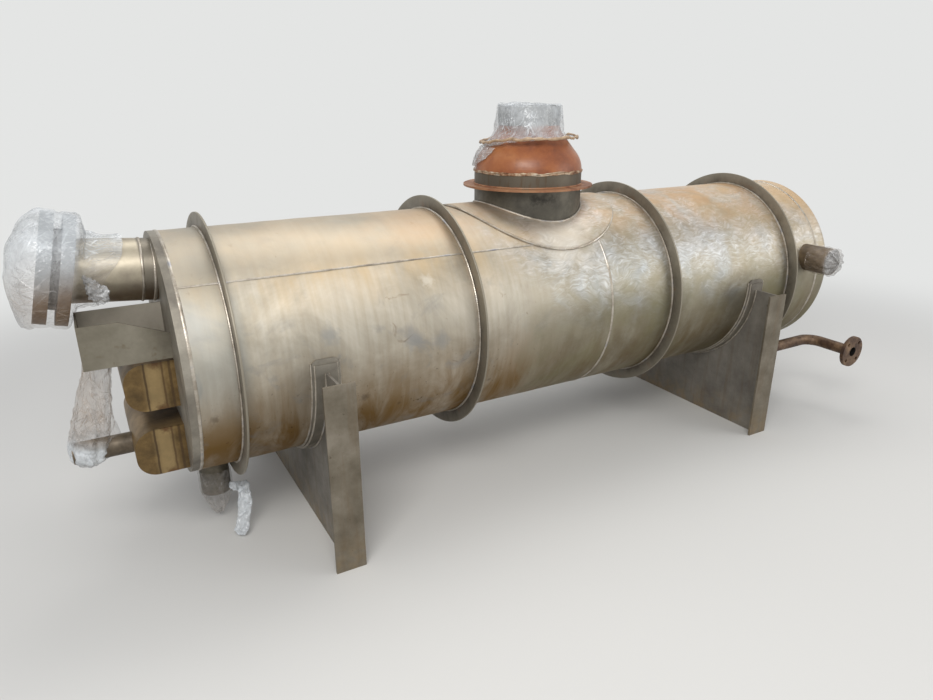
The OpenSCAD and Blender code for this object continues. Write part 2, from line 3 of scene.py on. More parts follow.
import bmesh
import bpy
import numpy as np
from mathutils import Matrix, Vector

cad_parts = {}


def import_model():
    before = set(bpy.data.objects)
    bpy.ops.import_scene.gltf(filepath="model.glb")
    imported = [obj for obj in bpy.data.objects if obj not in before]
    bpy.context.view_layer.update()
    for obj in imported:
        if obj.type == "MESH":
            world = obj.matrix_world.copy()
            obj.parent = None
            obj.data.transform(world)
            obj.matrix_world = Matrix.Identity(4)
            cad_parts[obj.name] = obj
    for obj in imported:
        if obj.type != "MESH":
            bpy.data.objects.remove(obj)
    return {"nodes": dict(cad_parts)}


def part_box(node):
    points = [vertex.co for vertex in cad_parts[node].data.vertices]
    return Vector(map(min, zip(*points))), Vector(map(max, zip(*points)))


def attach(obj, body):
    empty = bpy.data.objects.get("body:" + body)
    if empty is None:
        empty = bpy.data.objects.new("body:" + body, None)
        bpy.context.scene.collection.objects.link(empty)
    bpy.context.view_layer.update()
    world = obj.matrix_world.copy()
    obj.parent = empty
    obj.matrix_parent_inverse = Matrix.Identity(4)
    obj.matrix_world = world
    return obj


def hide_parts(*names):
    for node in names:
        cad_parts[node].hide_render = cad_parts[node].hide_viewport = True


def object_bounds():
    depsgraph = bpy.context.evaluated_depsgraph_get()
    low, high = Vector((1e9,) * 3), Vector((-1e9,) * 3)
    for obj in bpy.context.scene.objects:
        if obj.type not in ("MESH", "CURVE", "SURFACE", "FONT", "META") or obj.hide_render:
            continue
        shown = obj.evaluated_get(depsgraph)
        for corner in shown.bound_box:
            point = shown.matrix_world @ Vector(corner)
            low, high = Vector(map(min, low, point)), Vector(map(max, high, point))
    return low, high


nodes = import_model()["nodes"]
cad_bounds = [list(corner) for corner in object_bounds()]
scene = bpy.context.scene
MM = 0.001


def placed(name, data):
    """A new object of the scene."""
    made = bpy.data.objects.new(name, data)
    scene.collection.objects.link(made)
    return made


# Camera. It stands at eye height before the inlet end, where the rings and rims in the photograph
# put it.
VIEW_EYE = (-0.679, -2.641, 1.641)
VIEW_YAW, VIEW_PITCH, VIEW_ROLL = np.radians((29.66, 20.11, 0.05))
camera = placed("camera", bpy.data.cameras.new("camera"))
camera.data.sensor_width = 36.0
camera.data.lens = 26.58
camera.data.clip_end = 200.0
camera.location = VIEW_EYE
camera.rotation_euler = (np.pi / 2 - VIEW_PITCH, VIEW_ROLL, -VIEW_YAW)
scene.camera = camera
scene.view_settings.view_transform = "Standard"


# Materials. Each is a tree of nodes on Object coordinates, in metres.
def linear(code):
    """The linear colour, with alpha 1, of an sRGB hex code such as b9ad97."""
    srgb = np.array([int(code[i : i + 2], 16) for i in (0, 2, 4)]) / 255
    return (*np.where(srgb <= 0.04045, srgb / 12.92, ((srgb + 0.055) / 1.055) ** 2.4), 1.0)


def add(tree, kind, inputs=None, out=0, **settings):
    """Adds a node, sets or links its inputs, and returns one output."""
    made = tree.nodes.new("ShaderNode" + kind)
    for name, value in settings.items():
        setattr(made, name, value)
    for name, value in (inputs or {}).items():
        if isinstance(value, bpy.types.NodeSocket):
            tree.links.new(value, made.inputs[name])
        else:
            made.inputs[name].default_value = value
    return made.outputs[out] if len(made.outputs) else made


def calc(operation, value, *others):
    """One Math node on a socket and more sockets or numbers."""
    return add(value.id_data, "Math", dict(enumerate((value, *others))), operation=operation)


def product(*masks):
    """A socket times more sockets or numbers."""
    total = masks[0]
    for mask in masks[1:]:
        total = calc("MULTIPLY", total, mask)
    return total


def ramp(value, start, end, low=0.0, high=1.0):
    """Goes from low, where the value is at start, to high, where it is at end."""
    return add(value.id_data, "MapRange", {0: value, 1: start, 2: end, 3: low, 4: high})


def tones(value, *stops):
    """Colour ramp over a value, with its stops as places and hex codes."""
    made = add(value.id_data, "ValToRGB", {0: value}).node
    elements = made.color_ramp.elements
    while len(elements) < len(stops):
        elements.new(1.0)
    for element, (place, colour) in zip(elements, stops):
        element.position = place
        element.color = linear(colour)
    return made.outputs[0]


def apart(value, centre):
    """How far a value is from another."""
    return calc("ABSOLUTE", calc("SUBTRACT", value, centre))


def distance(place, centre):
    """Distance of a place from a point."""
    return add(place.id_data, "VectorMath", {0: place, 1: centre}, "Value", operation="DISTANCE")


def parts(place):
    """The x, y and z of a place, as sockets."""
    return add(place.id_data, "SeparateXYZ", {0: place}).node.outputs


def scaled(place, *scale):
    """A place times a scale on each axis, which draws a noise out."""
    return add(place.id_data, "Mapping", {"Vector": place, "Scale": scale})


def noise(place, scale, detail, roughness=0.5, warp=0.0, out=0):
    """Noise with scale features a metre."""
    return add(place.id_data, "TexNoise", {"Vector": place, "Scale": scale, "Detail": detail,
                                           "Roughness": roughness, "Distortion": warp}, out)


def cloud(place, scale, low, high, to=(0.0, 1.0), detail=5.0, warp=0.0):
    """Mask of noise: to[0] where it is under low, to[1] where it is over high."""
    return ramp(noise(place, scale, detail, 0.62, warp), low, high, *to)


def smudge(place, centre, size):
    """Mask of a ragged spot of about that radius in metres round a point of the object."""
    reach = calc("MULTIPLY", cloud(place, 2.2 / size, 0.3, 0.7, (0.45, 1.3), 6.0), size)
    return ramp(calc("DIVIDE", distance(place, centre), reach), 0.3, 1.0, 1.0, 0.0)


def blend(tree, mask, under, over, mode="MIX"):
    """One colour laid over another by a mask."""
    return add(tree, "Mix", {0: mask, 6: under, 7: over}, 2, data_type="RGBA", blend_type=mode)


def tint(made, mask, colour, mode="MIX"):
    """Lays a colour, as hex code or socket, over a material's base colour by a mask."""
    base = made.node_tree.nodes["Principled BSDF"].inputs["Base Color"]
    over = linear(colour) if isinstance(colour, str) else colour
    laid = blend(made.node_tree, mask, base.links[0].from_socket, over, mode)
    made.node_tree.links.new(laid, base)


def bump(shader, relief, strength, depth):
    """Gives a shader a relief of at most that depth in metres."""
    tree = relief.id_data
    normal = add(tree, "Bump", {"Height": relief, "Strength": strength, "Distance": depth})
    tree.links.new(normal, shader["Normal"])


def attribute(made, name):
    """A point attribute, for a material."""
    return add(made.node_tree, "Attribute", None, "Fac", attribute_name=name)


def fresh(name, **values):
    """A new material, its node tree, its Object coordinates and its shader's inputs."""
    made = bpy.data.materials.new(name)
    made.use_nodes = True
    shader = made.node_tree.nodes["Principled BSDF"].inputs
    for key, value in values.items():
        shader[key.replace("_", " ")].default_value = value
    return made, made.node_tree, add(made.node_tree, "TexCoord", out="Object"), shader


def worn(name, colours, metal=0.8, rough=(0.42, 0.6), scale=8.0, grain=120.0, depth=0.4 * MM):
    """A worn surface whose tone follows cloudy stains, from the first colour to the last."""
    made, tree, place, shader = fresh(name, Metallic=metal)
    stains = noise(place, scale, 7.0, 0.64)
    stops = zip(np.linspace(0.32, 0.68, len(colours)), colours)
    tree.links.new(tones(stains, *stops), shader["Base Color"])
    tree.links.new(ramp(stains, 0.3, 0.7, rough[1], rough[0]), shader["Roughness"])
    bump(shader, cloud(place, grain, 0.25, 0.75), 0.25, depth)
    return made, place


# Studio. A pale floor that turns into the pale surround a few metres out, and three broad soft
# lamps, so that plain colours render about as they are written.
PALE = linear("e4e5e4")
FLOOR_SIZE = 60
FLOOR_MIDDLE = (1.1, 0.0, 0.0)
FLOOR_NEAR, FLOOR_FAR = 2.6, 5.5


def soft_lamp(name, place, target, size, watts):
    """A rectangular lamp that is turned to its target."""
    lamp = bpy.data.lights.new(name, "AREA")
    lamp.shape = "RECTANGLE"
    lamp.size, lamp.size_y = size
    lamp.energy = watts
    holder = placed(name, lamp)
    aim = np.array(target) - np.array(place)
    holder.location = place
    holder.rotation_euler = (np.arctan2(np.hypot(aim[0], aim[1]), -aim[2]), 0,
                             np.arctan2(-aim[0], aim[1]))


def pale_rays(tree):
    """1 for the rays that show the pale surround: from the camera, off metal and through film."""
    total = add(tree, "LightPath", out="Is Camera Ray")
    for ray in ("Is Glossy Ray", "Is Transmission Ray"):
        total = calc("ADD", total, add(tree, "LightPath", out=ray))
    return calc("MINIMUM", total, 1.0)


soft_lamp("key", (-1.7, -3.8, 4.4), (0.9, 0.0, 0.9), (3.4, 2.2), 215)
soft_lamp("top", (2.0, 1.2, 5.0), (1.2, 0.0, 0.9), (5.0, 2.0), 90)
soft_lamp("fill", (5.0, -3.6, 2.2), (1.6, 0.0, 0.6), (3.0, 2.4), 60)

world = bpy.data.worlds.new("surround")
scene.world = world
world.use_nodes = True
tree = world.node_tree
tree.nodes.clear()
around = blend(tree, pale_rays(tree), linear("b9bcc2"), PALE)
add(tree, "OutputWorld", {"Surface": add(tree, "Background", {"Color": around})})

bpy.ops.mesh.primitive_plane_add(size=FLOOR_SIZE, location=(0, 0, cad_bounds[0][2] - 0.5 * MM))
floor = bpy.context.object
floor.name = "floor"
floor_paint, tree, place, shader = fresh("floor_paint", Roughness=0.9)
shader["Base Color"].default_value = linear("cfcdc8")
far = add(tree, "MapRange", {0: distance(place, FLOOR_MIDDLE), 1: FLOOR_NEAR, 2: FLOOR_FAR},
          interpolation_type="SMOOTHERSTEP")
faded = add(tree, "MixShader", {0: product(far, pale_rays(tree)),
                                1: tree.nodes["Principled BSDF"].outputs[0],
                                2: add(tree, "Emission", {"Color": PALE})})
tree.links.new(faded, tree.nodes["Material Output"].inputs[0])
floor.data.materials.append(floor_paint)


# Meshes. All are made as grids of points in place.
SHARP_ANGLE = np.radians(38)


def share(values):
    """Values kept between 0 and 1."""
    return np.clip(values, 0, 1)


def unit(vectors):
    """Rows of vectors, brought to length 1."""
    return vectors / np.linalg.norm(vectors, axis=1)[:, None]


def corners(name):
    """The low and the high corner of a node's box."""
    return [np.array(corner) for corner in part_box(name)]


def shade(mesh):
    """Smooth shading with sharp edges."""
    mesh.shade_smooth()
    mesh.set_sharp_from_angle(angle=SHARP_ANGLE)
    return mesh


def skin(name, grid, wrap=(False, False), caps=False, **weights):
    """Mesh of a grid of points. wrap closes a direction on itself, caps closes both ends of the
    first direction, and weights are point attributes."""
    rows, columns = grid.shape[:2]
    index = np.arange(rows * columns).reshape(rows, columns)
    ends = [index[0].tolist(), index[-1].tolist()] if caps else []
    if wrap[0]:
        index = np.vstack([index, index[:1]])
    if wrap[1]:
        index = np.hstack([index, index[:, :1]])
    faces = np.stack([index[:-1, :-1], index[1:, :-1], index[1:, 1:], index[:-1, 1:]], -1)
    mesh = bpy.data.meshes.new(name)
    mesh.from_pydata(grid.reshape(-1, 3).tolist(), [], faces.reshape(-1, 4).tolist() + ends)
    for weight, values in weights.items():
        layer = mesh.attributes.new(weight, "FLOAT", "POINT")
        layer.data.foreach_set("value", np.broadcast_to(values, grid.shape[:2]).ravel())
    shape = bmesh.new()
    shape.from_mesh(mesh)
    bmesh.ops.recalc_face_normals(shape, faces=shape.faces)
    shape.to_mesh(mesh)
    shape.free()
    return shade(mesh)


def joined(name, meshes):
    """One mesh of several, which are removed."""
    shape = bmesh.new()
    for mesh in meshes:
        shape.from_mesh(mesh)
    whole = meshes[0].copy()
    whole.name = name
    shape.to_mesh(whole)
    shape.free()
    for mesh in meshes:
        bpy.data.meshes.remove(mesh)
    return shade(whole)


def piece(name, mesh, material, slot, *covered):
    """Object on the one body, of a mesh in place, which stands for the covered nodes."""
    made = placed(name, mesh)
    mesh.materials.clear()
    mesh.materials.append(material)
    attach(made, "root")
    if covered:
        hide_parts(*covered)
    return made


def paint(material, slot, *names):
    """Gives CAD nodes whose shape is right their material."""
    for name in names:
        nodes[name].data.materials.clear()
        nodes[name].data.materials.append(material)


def circle(count):
    """Angles at even steps round a circle."""
    return np.linspace(0, 2 * np.pi, count, endpoint=False)


def lathe(profile, centre, along, turns):
    """Grid of a profile, given as distance from the axis and place along it, carried round."""
    profile, along = np.asarray(profile, float), np.asarray(along, float)
    side = np.array((0.0, 1.0, 0.0)) if abs(along[1]) < 0.5 else np.array((1.0, 0.0, 0.0))
    turn = circle(turns)[:, None]
    spoke = np.cos(turn) * side + np.sin(turn) * np.cross(along, side)
    return np.asarray(centre) + profile[:, None, 1:] * along + profile[:, None, :1] * spoke


def rounded(outline, radius, steps=3):
    """Closed outline whose corners are rounded by curves that start radius before each one."""
    corner = np.asarray(outline, float)
    ends = [corner + radius * unit(np.roll(corner, step, 0) - corner) for step in (1, -1)]
    t = np.linspace(0, 1, steps + 1)[:, None]
    curve = ((1 - t) ** 2 * ends[0][:, None] + 2 * t * (1 - t) * corner[:, None]
             + t**2 * ends[1][:, None])
    return curve.reshape(-1, 2)


def resampled(points, step):
    """Points at even steps along a line of points."""
    points = np.asarray(points, float)
    run = np.concatenate([[0], np.cumsum(np.linalg.norm(np.diff(points, axis=0), axis=1))])
    even = np.linspace(0, run[-1], max(int(run[-1] / step), 2))
    return np.stack([np.interp(even, run, column) for column in points.T], 1)


def swell(points, wavelength, seed, waves=7):
    """Smooth uneven field from about -1 to 1: a sum of plane waves in random directions."""
    rng = np.random.default_rng(seed)
    total = np.zeros(points.shape[:-1])
    for _ in range(waves):
        way = rng.normal(size=3)
        way *= 2 * np.pi / (wavelength * rng.uniform(0.6, 1.7) * np.linalg.norm(way))
        total += np.sin(points @ way + rng.uniform(0, 2 * np.pi))
    return total / waves**0.5 / 1.5


def normals(grid):
    """Directions square to a grid that is closed round, from its neighbours both ways."""
    out = np.cross(np.gradient(grid, axis=0), np.roll(grid, -1, 1) - np.roll(grid, 1, 1))
    return out / np.maximum(np.linalg.norm(out, axis=-1), 1e-9)[..., None]


def outward(grid, centre):
    """Normals of a grid, turned away from a point inside it."""
    out = normals(grid)
    return out * np.sign(np.sum(out * (grid - centre), -1))[..., None]


def crumple(points, out, wavelength, depth, seed):
    """Pushes points along out in sharp creases: the ridges of two swells, 1 - 2 |swell|."""
    ridge = (1 - 2 * np.abs(swell(points, wavelength, seed))
             + 0.5 * (1 - 2 * np.abs(swell(points, wavelength / 2.6, seed + 1))))
    return points + out * (depth * ridge)[..., None]


# Shell. Two rolled courses of stainless plate. The first keeps its mill finish, warm grey with
# faint streaks round the shell and brown water stains; the second is ground bright in swirls.
shell_low, shell_high = corners("shell_left_course")
AXIS_Z = (shell_low[2] + shell_high[2]) / 2
AXIS = np.array((0.0, 0.0, AXIS_Z))
SHELL_R = (shell_high[2] - shell_low[2]) / 2
PLATE_WALL = 8 * MM
RIM_X = corners("left_end_plate")[0][0]
SEAM_X = shell_high[0]
HEAD_X = corners("shell_right_course")[1][0]
RING_X = [sum(corner[0] for corner in corners(f"stiffening_ring_{i}")) / 2 for i in (1, 2, 3, 4)]
WELD_X = [RIM_X, SEAM_X, HEAD_X, *RING_X]
SEAM_TURN = np.radians(45)
SEAM_Y, SEAM_Z = -SHELL_R * np.cos(SEAM_TURN), SHELL_R * np.sin(SEAM_TURN)
ROW_STEP = 12 * MM
ROWS_BY_WELD = np.arange(-36, 37, 4) * MM
INNER_ROWS = 9
SHELL_TURNS = 360
FACE_INSET = 0.6 * MM
WELD_PULL, PULL_REACH = 0.9 * MM, 16 * MM
CALM_REACH = 60 * MM


def weld_gap(x):
    """Distance along the shell from the nearest weld that runs round it."""
    return np.min([np.abs(x - weld_x) for weld_x in WELD_X], axis=0)


def rolled_shell(x0, x1, seed):
    """Closed grid of a course: the outer face, then the inner face, which is coarser. The outer
    face is a little wavy. It lies 0.6 mm inside the CAD face, and up to 0.9 mm deeper by a weld."""
    x = np.union1d(np.arange(x0, x1, ROW_STEP), [x1])
    near = np.concatenate([weld_x + ROWS_BY_WELD for weld_x in WELD_X])
    x = np.union1d(x, near[(near > x0) & (near < x1)])
    x = x[np.append(True, np.diff(x) > 1 * MM)]
    inner = np.linspace(x1, x0, INNER_ROWS)
    wall = np.concatenate([np.zeros(len(x)), np.full(INNER_ROWS, PLATE_WALL)])
    section = np.stack([SHELL_R - wall, np.concatenate([x, inner])], 1)
    grid = lathe(section, AXIS, (1, 0, 0), SHELL_TURNS)
    outer = grid[: len(x)]
    spoke = (outer - AXIS) * (0, 1, 1) / SHELL_R
    gap = weld_gap(x)[:, None]
    wave = 1.0 * MM * swell(outer, 0.33, seed) + 0.35 * MM * swell(outer, 0.12, seed + 1)
    sunk = -WELD_PULL * np.exp(-(gap / PULL_REACH) ** 2) - FACE_INSET
    grid[: len(x)] += spoke * (wave * share(gap / CALM_REACH) + sunk)[..., None]
    return grid


def weld_heat(points, gap):
    """Heat tint: 1 on the weld, falling off unevenly over a finger's width."""
    return share(np.exp(-np.maximum(gap - 5 * MM, 0) / (19 * MM))
                 * (1 + 0.35 * swell(points, 0.05, 31)))


steel, tree, place, shader = fresh("stainless_plate_stained", Metallic=0.82)
plate_x, plate_y, plate_z = parts(place)
height = calc("SUBTRACT", plate_z, AXIS_Z)
girth = calc("MULTIPLY", calc("ARCTAN2", plate_y, height), SHELL_R)
rolled = add(tree, "CombineXYZ", {0: plate_x, 1: girth})
streaks = noise(scaled(rolled, 45.0, 2.2, 1.0), 1.0, 4.0)
patches = noise(place, 3.4, 7.0, 0.64, 0.5)
plate = tones(patches, (0.3, "9b9587"), (0.44, "aea89b"), (0.56, "bfb9ac"), (0.7, "cfcabf"))
tree.links.new(plate, shader["Base Color"])
tint(steel, 1.0, tones(streaks, (0.3, "eeebe7"), (0.7, "ffffff")), "MULTIPLY")

# Brown dirt low on the shell, in runs, laid on darker than the dirt alone as painted shade under the
# shell, and grey and dark marks where it was handled.
low = ramp(height, 0.1, -0.24)
runs = scaled(rolled, 9.0, 2.6, 1.0)
# Partly real brown dirt, partly painted shade low on the shell.
grime_and_shade = product(low, cloud(runs, 1.0, 0.34, 0.6, (0.45, 1.0), 7.0, 0.8))
tint(steel, grime_and_shade, "775b2f")
tint(steel, cloud(place, 5.5, 0.56, 0.7, (0.0, 0.45), 7.0, 1.2), "7d7f80")
specks = cloud(place, 60.0, 0.66, 0.72, (0.0, 0.8), 3.0)
tint(steel, product(low, specks), "48341c")
ochre = ramp(apart(height, 0.3), 0.12, 0.0)
tint(steel, product(ochre, cloud(runs, 0.7, 0.42, 0.62, (0.0, 0.5), 6.0)), "cbb084")
tint(steel, cloud(place, 12.0, 0.68, 0.74, (0.0, 0.5), 3.0, 1.0), "6a5238")
MARKS = [((-0.41, -0.4, 0.95), 0.1, "8b8f93"), ((0.35, -0.448, 0.796), 0.06, "85888a"),
         ((0.031, -0.435, 0.866), 0.05, "86898a"), ((0.46, -0.447, 0.78), 0.05, "87898a"),
         ((0.44, -0.376, 0.997), 0.035, "dcd7cb"), ((-0.382, -0.436, 0.639), 0.022, "54402c"),
         ((0.151, -0.424, 0.6), 0.026, "4a3a2a"), ((0.3, -0.39, 0.53), 0.012, "4a3a2a"),
         ((-0.46, -0.36, 0.49), 0.015, "443423"), ((0.7, -0.4, 0.55), 0.014, "4f3d2a"),
         ((1.32, -0.4, 0.56), 0.016, "4a3b2a")]
for centre, size, colour in MARKS:
    tint(steel, product(smudge(place, centre, size), 0.5), colour)

# Over the long seam, and left of the first ring, the plate is painted a darker, cooler grey: painted shade
# that tones down the lamps' highlight there.
above_seam = ramp(height, 0.31, 0.35)
inlet_side = ramp(plate_x, 1.0, 0.4)
tint(steel, product(above_seam, inlet_side, 0.6), "99958a")
# Painted shade over the lamps' highlight, left of the first ring.
before_ring = ramp(plate_x, -0.24, -0.27)
upper_side = ramp(height, -0.16, 0.06)
tint(steel, product(before_ring, upper_side, 0.45), "8f9492")

# The right course is ground in short sweeps, bright only on the upper part, a painted highlight,
# and dull and greenish lower down, where the dull tone and the olive brown runs are painted
# shade. The sweeps are a noise drawn out to 45 by 16 mm and bent by a coarse one.
bend = noise(place, 7.0, 3.0, out="Color")
bend = add(tree, "VectorMath", {0: bend, 1: (0.12, 0.12, 0.12)}, operation="MULTIPLY")
bent = add(tree, "VectorMath", {0: rolled, 1: bend})
arcs = ramp(noise(scaled(bent, 22.0, 62.0, 1.0), 1.0, 4.0, warp=1.2), 0.3, 0.7)
bright = tones(arcs, (0.0, "94938e"), (0.35, "ababa7"), (0.7, "c2c4c5"), (1.0, "dfe3e6"))
dull = tones(patches, (0.35, "777160"), (0.6, "989280"))
# Painted highlight: the bright sweeps show only high on the course.
top_highlight = product(cloud(place, 4.5, 0.36, 0.62, (0.15, 1.0), 6.0, 0.6),
                ramp(height, -0.02, 0.24, 0.1, 1.0))
is_ground = ramp(calc("ADD", plate_x, patches), 1.32, 1.62)
tint(steel, is_ground, blend(tree, top_highlight, dull, bright))
blue = product(is_ground, cloud(place, 4.5, 0.48, 0.66, (0.0, 0.4), 5.0, 0.8),
               ramp(height, -0.1, 0.1))
tint(steel, blue, "98a2ab")
# Painted shade: olive brown runs low on the right course.
low_painted_shade = product(is_ground, low, cloud(runs, 1.3, 0.36, 0.6, (0.25, 0.85), 6.0))
tint(steel, low_painted_shade, "6a583b")
green = product(is_ground, cloud(place, 4.0, 0.44, 0.66, (0.05, 0.6), 6.0),
                ramp(height, 0.24, 0.0))
tint(steel, green, "7d7859")

# Tan and rust over the top, strongest at the right and on the head, and heat tint by the welds.
high = ramp(height, 0.27, 0.43)
right = ramp(plate_x, 0.1, 2.0, 0.08, 0.8)
rust = product(high, right, cloud(place, 7.0, 0.36, 0.6, (0.0, 0.9), 7.0, 0.5))
tint(steel, rust, "b68d62")
tan = product(ramp(plate_x, 1.8, 2.9, 0.2, 0.65), ramp(height, 0.0, 0.36),
              cloud(place, 3.0, 0.35, 0.6, (0.3, 1.0)))
tint(steel, tan, "e6c597")
head_rust = product(ramp(plate_x, 2.75, 2.95), ramp(height, 0.12, 0.4),
                    cloud(place, 5.0, 0.38, 0.56, (0.15, 0.85)))
tint(steel, head_rust, "b3783f")
for centre, size, strength, colour in (((0.55, -0.12, 1.18), 0.28, 0.25, "b48a5c"),
                                       ((1.12, -0.3, 1.09), 0.22, 0.6, "e8dfd0")):
    tint(steel, product(smudge(place, centre, size), strength), colour)
heat = attribute(steel, "heat")
straw = tones(heat, (0.0, "ffffff"), (0.35, "ecd5a4"), (0.62, "c9a97c"), (0.8, "a39da3"),
              (1.0, "9a9797"))
tint(steel, 0.85, straw, "MULTIPLY")
rough = calc("MULTIPLY_ADD", grime_and_shade, 0.15, ramp(patches, 0.3, 0.7, 0.42, 0.56))
tree.links.new(rough, shader["Roughness"])
relief = calc("ADD", product(arcs, is_ground, top_highlight), streaks)
relief = calc("MULTIPLY_ADD", cloud(place, 90.0, 0.2, 0.8), 0.5, relief)
bump(shader, relief, 0.2, 0.8 * MM)

for name, x0, x1, slot, seed in (
        ("shell_left_course", shell_low[0], SEAM_X, "mill_stainless", 3),
        ("shell_right_course", SEAM_X, HEAD_X, "ground_stainless", 9)):
    grid = rolled_shell(x0, x1, seed)
    gap = weld_gap(grid[..., 0])
    if x0 < SEAM_X:
        off_seam = np.hypot(grid[..., 1] - SEAM_Y, grid[..., 2] - AXIS_Z - SEAM_Z)
        gap = np.minimum(gap, off_seam)
    piece(f"{name}_plate", skin(name, grid, (True, True), heat=weld_heat(grid, gap)), steel, slot,
          name)
paint(steel, "mill_stainless", "nozzle_pad")


# Weld beads. Each is a low round bead with the ripples of its passes, in stained bright metal.
# They run round every ring foot, along the seams and round the branches.
WELD_PITCH = 9 * MM
PATH_STEP = 3 * MM
weld_metal = worn("weld_metal", ["857c70", "a39a8d", "bdb5a9", "98979a"], 0.85, (0.34, 0.46), 14.0)[0]
dark_weld = worn("dark_weld", ["3e362e", "5d5246", "8a7f70"], 0.7, (0.45, 0.6), 30.0)[0]


def bead(path, up, width, rise, closed, seed, uneven):
    """Grid of a weld bead: a flattened round carried along a path and swollen by each ripple."""
    ahead = np.roll(path, -1, 0) - np.roll(path, 1, 0) if closed else np.gradient(path, axis=0)
    ahead = unit(ahead)
    side = unit(np.cross(ahead, up))
    lift = np.cross(side, ahead)
    run = np.concatenate([[0], np.cumsum(np.linalg.norm(np.diff(path, axis=0), axis=1))])
    ripple = 1 + 0.10 * np.sin(2 * np.pi * run / WELD_PITCH) + uneven * swell(path, 0.03, seed)
    turn = circle(8)
    offset = (np.cos(turn)[:, None] * side[:, None] * width / 2
              + np.sin(turn)[:, None] * lift[:, None] * rise)
    return path[:, None] + offset * ripple[:, None, None]


def bead_piece(name, line, width, rise, seed=5, slot="plate_steel", material=weld_metal,
               closed=True, uneven=0.12):
    """Piece of a bead along a line, which is a path and its outward directions."""
    grid = bead(*line, width, rise, closed, seed, uneven)
    return piece(name, skin(name, grid, (closed, True), not closed), material, slot)


def hoop(x, radius, start=0.0, end=2 * np.pi):
    """Points round the shell at x, turned from the top, and their outward directions."""
    whole = np.isclose(end - start, 2 * np.pi)
    turn = np.linspace(start, end, int((end - start) * radius / PATH_STEP), endpoint=not whole)
    out = np.stack([0 * turn, np.sin(turn), np.cos(turn)], 1)
    return np.array((x, 0, AXIS_Z)) + radius * out, out


def round_steps(radius):
    """Number of path steps round a circle."""
    return int(2 * np.pi * radius / PATH_STEP)


def ring_path(centre, along, radius):
    """Circle round an axis, and its outward directions."""
    path = lathe([(radius, 0.0)], centre, along, round_steps(radius))[0]
    return path, (path - centre) / radius


def level_ring(radius, z):
    """Level circle round the top nozzle's axis, and its outward directions."""
    turn = circle(round_steps(radius))
    out = np.stack([np.cos(turn), np.sin(turn), 0 * turn], 1)
    return np.array((NECK_X, 0, z)) + radius * out, out


def branch_foot(radius, on_r):
    """Closed curve where the upright neck meets a round face: z is the root of R^2 - y^2."""
    turn = circle(round_steps(radius))
    y = radius * np.sin(turn)
    rise = np.sqrt(on_r**2 - y**2)
    path = np.stack([NECK_X + radius * np.cos(turn), y, AXIS_Z + rise], 1)
    out = np.stack([np.cos(turn), np.sin(turn) + y / on_r, rise / on_r], 1)
    return path, unit(out)


for name, x, width in (("rim_weld", shell_low[0], 12 * MM), ("girth_weld", SEAM_X, 11 * MM),
                       ("head_weld", HEAD_X, 13 * MM)):
    bead_piece(name, hoop(x, SHELL_R - 1 * MM), width, 2.6 * MM, slot="mill_stainless")

pad_low, pad_high = corners("nozzle_pad")
NECK_X = (pad_low[0] + pad_high[0]) / 2
PAD_REACH = (pad_high[0] - pad_low[0]) / 2
PAD_R = pad_high[2] - AXIS_Z
seam_end = NECK_X - np.sqrt(PAD_REACH**2 - (SHELL_R * SEAM_TURN) ** 2)
along = np.arange(shell_low[0] + 4 * MM, seam_end, PATH_STEP)
path = np.stack([along, np.full_like(along, SEAM_Y), np.full_like(along, AXIS_Z + SEAM_Z)], 1)
out = np.tile((0, -np.cos(SEAM_TURN), np.sin(SEAM_TURN)), (len(along), 1))
bead_piece("long_seam_weld", (path, out), 8 * MM, 2.4 * MM, slot="mill_stainless", closed=False)


# Stiffening rings. Flat bars cut from plate and welded to the shell on both sides; dull brown
# faces with a paler sheared edge, a little out of true.
ring_plate, place = worn("sheared_plate", ["4a453e", "645e54", "787268", "8e877c"], 0.72, (0.42, 0.6), 9.0)
tint(ring_plate, cloud(place, 18.0, 0.56, 0.66, (0.0, 0.6)), "6b4e34")
tint(ring_plate, attribute(ring_plate, "edge"), "8d8678")

ring_low, ring_high = corners("stiffening_ring_1")
RING_T, _, RING_R = ring_high - (ring_low[0], 0, AXIS_Z)
RING_FOOT = SHELL_R + 0.3 * MM
for i, x in enumerate(RING_X, 1):
    section = rounded([(RING_FOOT, -RING_T / 2), (RING_FOOT, RING_T / 2), (RING_R, RING_T / 2),
                       (RING_R, -RING_T / 2)], 1.6 * MM)
    grid = lathe(section, AXIS + (x, 0, 0), (1, 0, 0), 320)
    lean = (np.hypot(grid[..., 1], grid[..., 2] - AXIS_Z) - SHELL_R) / (RING_R - SHELL_R)
    grid[..., 0] += 2.0 * MM * lean * swell(grid, 0.8, 40 + i)
    bar = skin(f"ring_{i}", grid, (True, True), edge=share((lean - 0.93) / 0.05))
    piece(f"stiffening_ring_{i}_bar", bar, ring_plate, "plate_steel", f"stiffening_ring_{i}")
    for side, word in ((-1, "left"), (1, "right")):
        foot = hoop(x + side * (RING_T / 2 + 2 * MM), SHELL_R + 1.5 * MM)
        bead_piece(f"ring_{i}_fillet_{word}", foot, 9 * MM, 4.5 * MM, 50 + i)


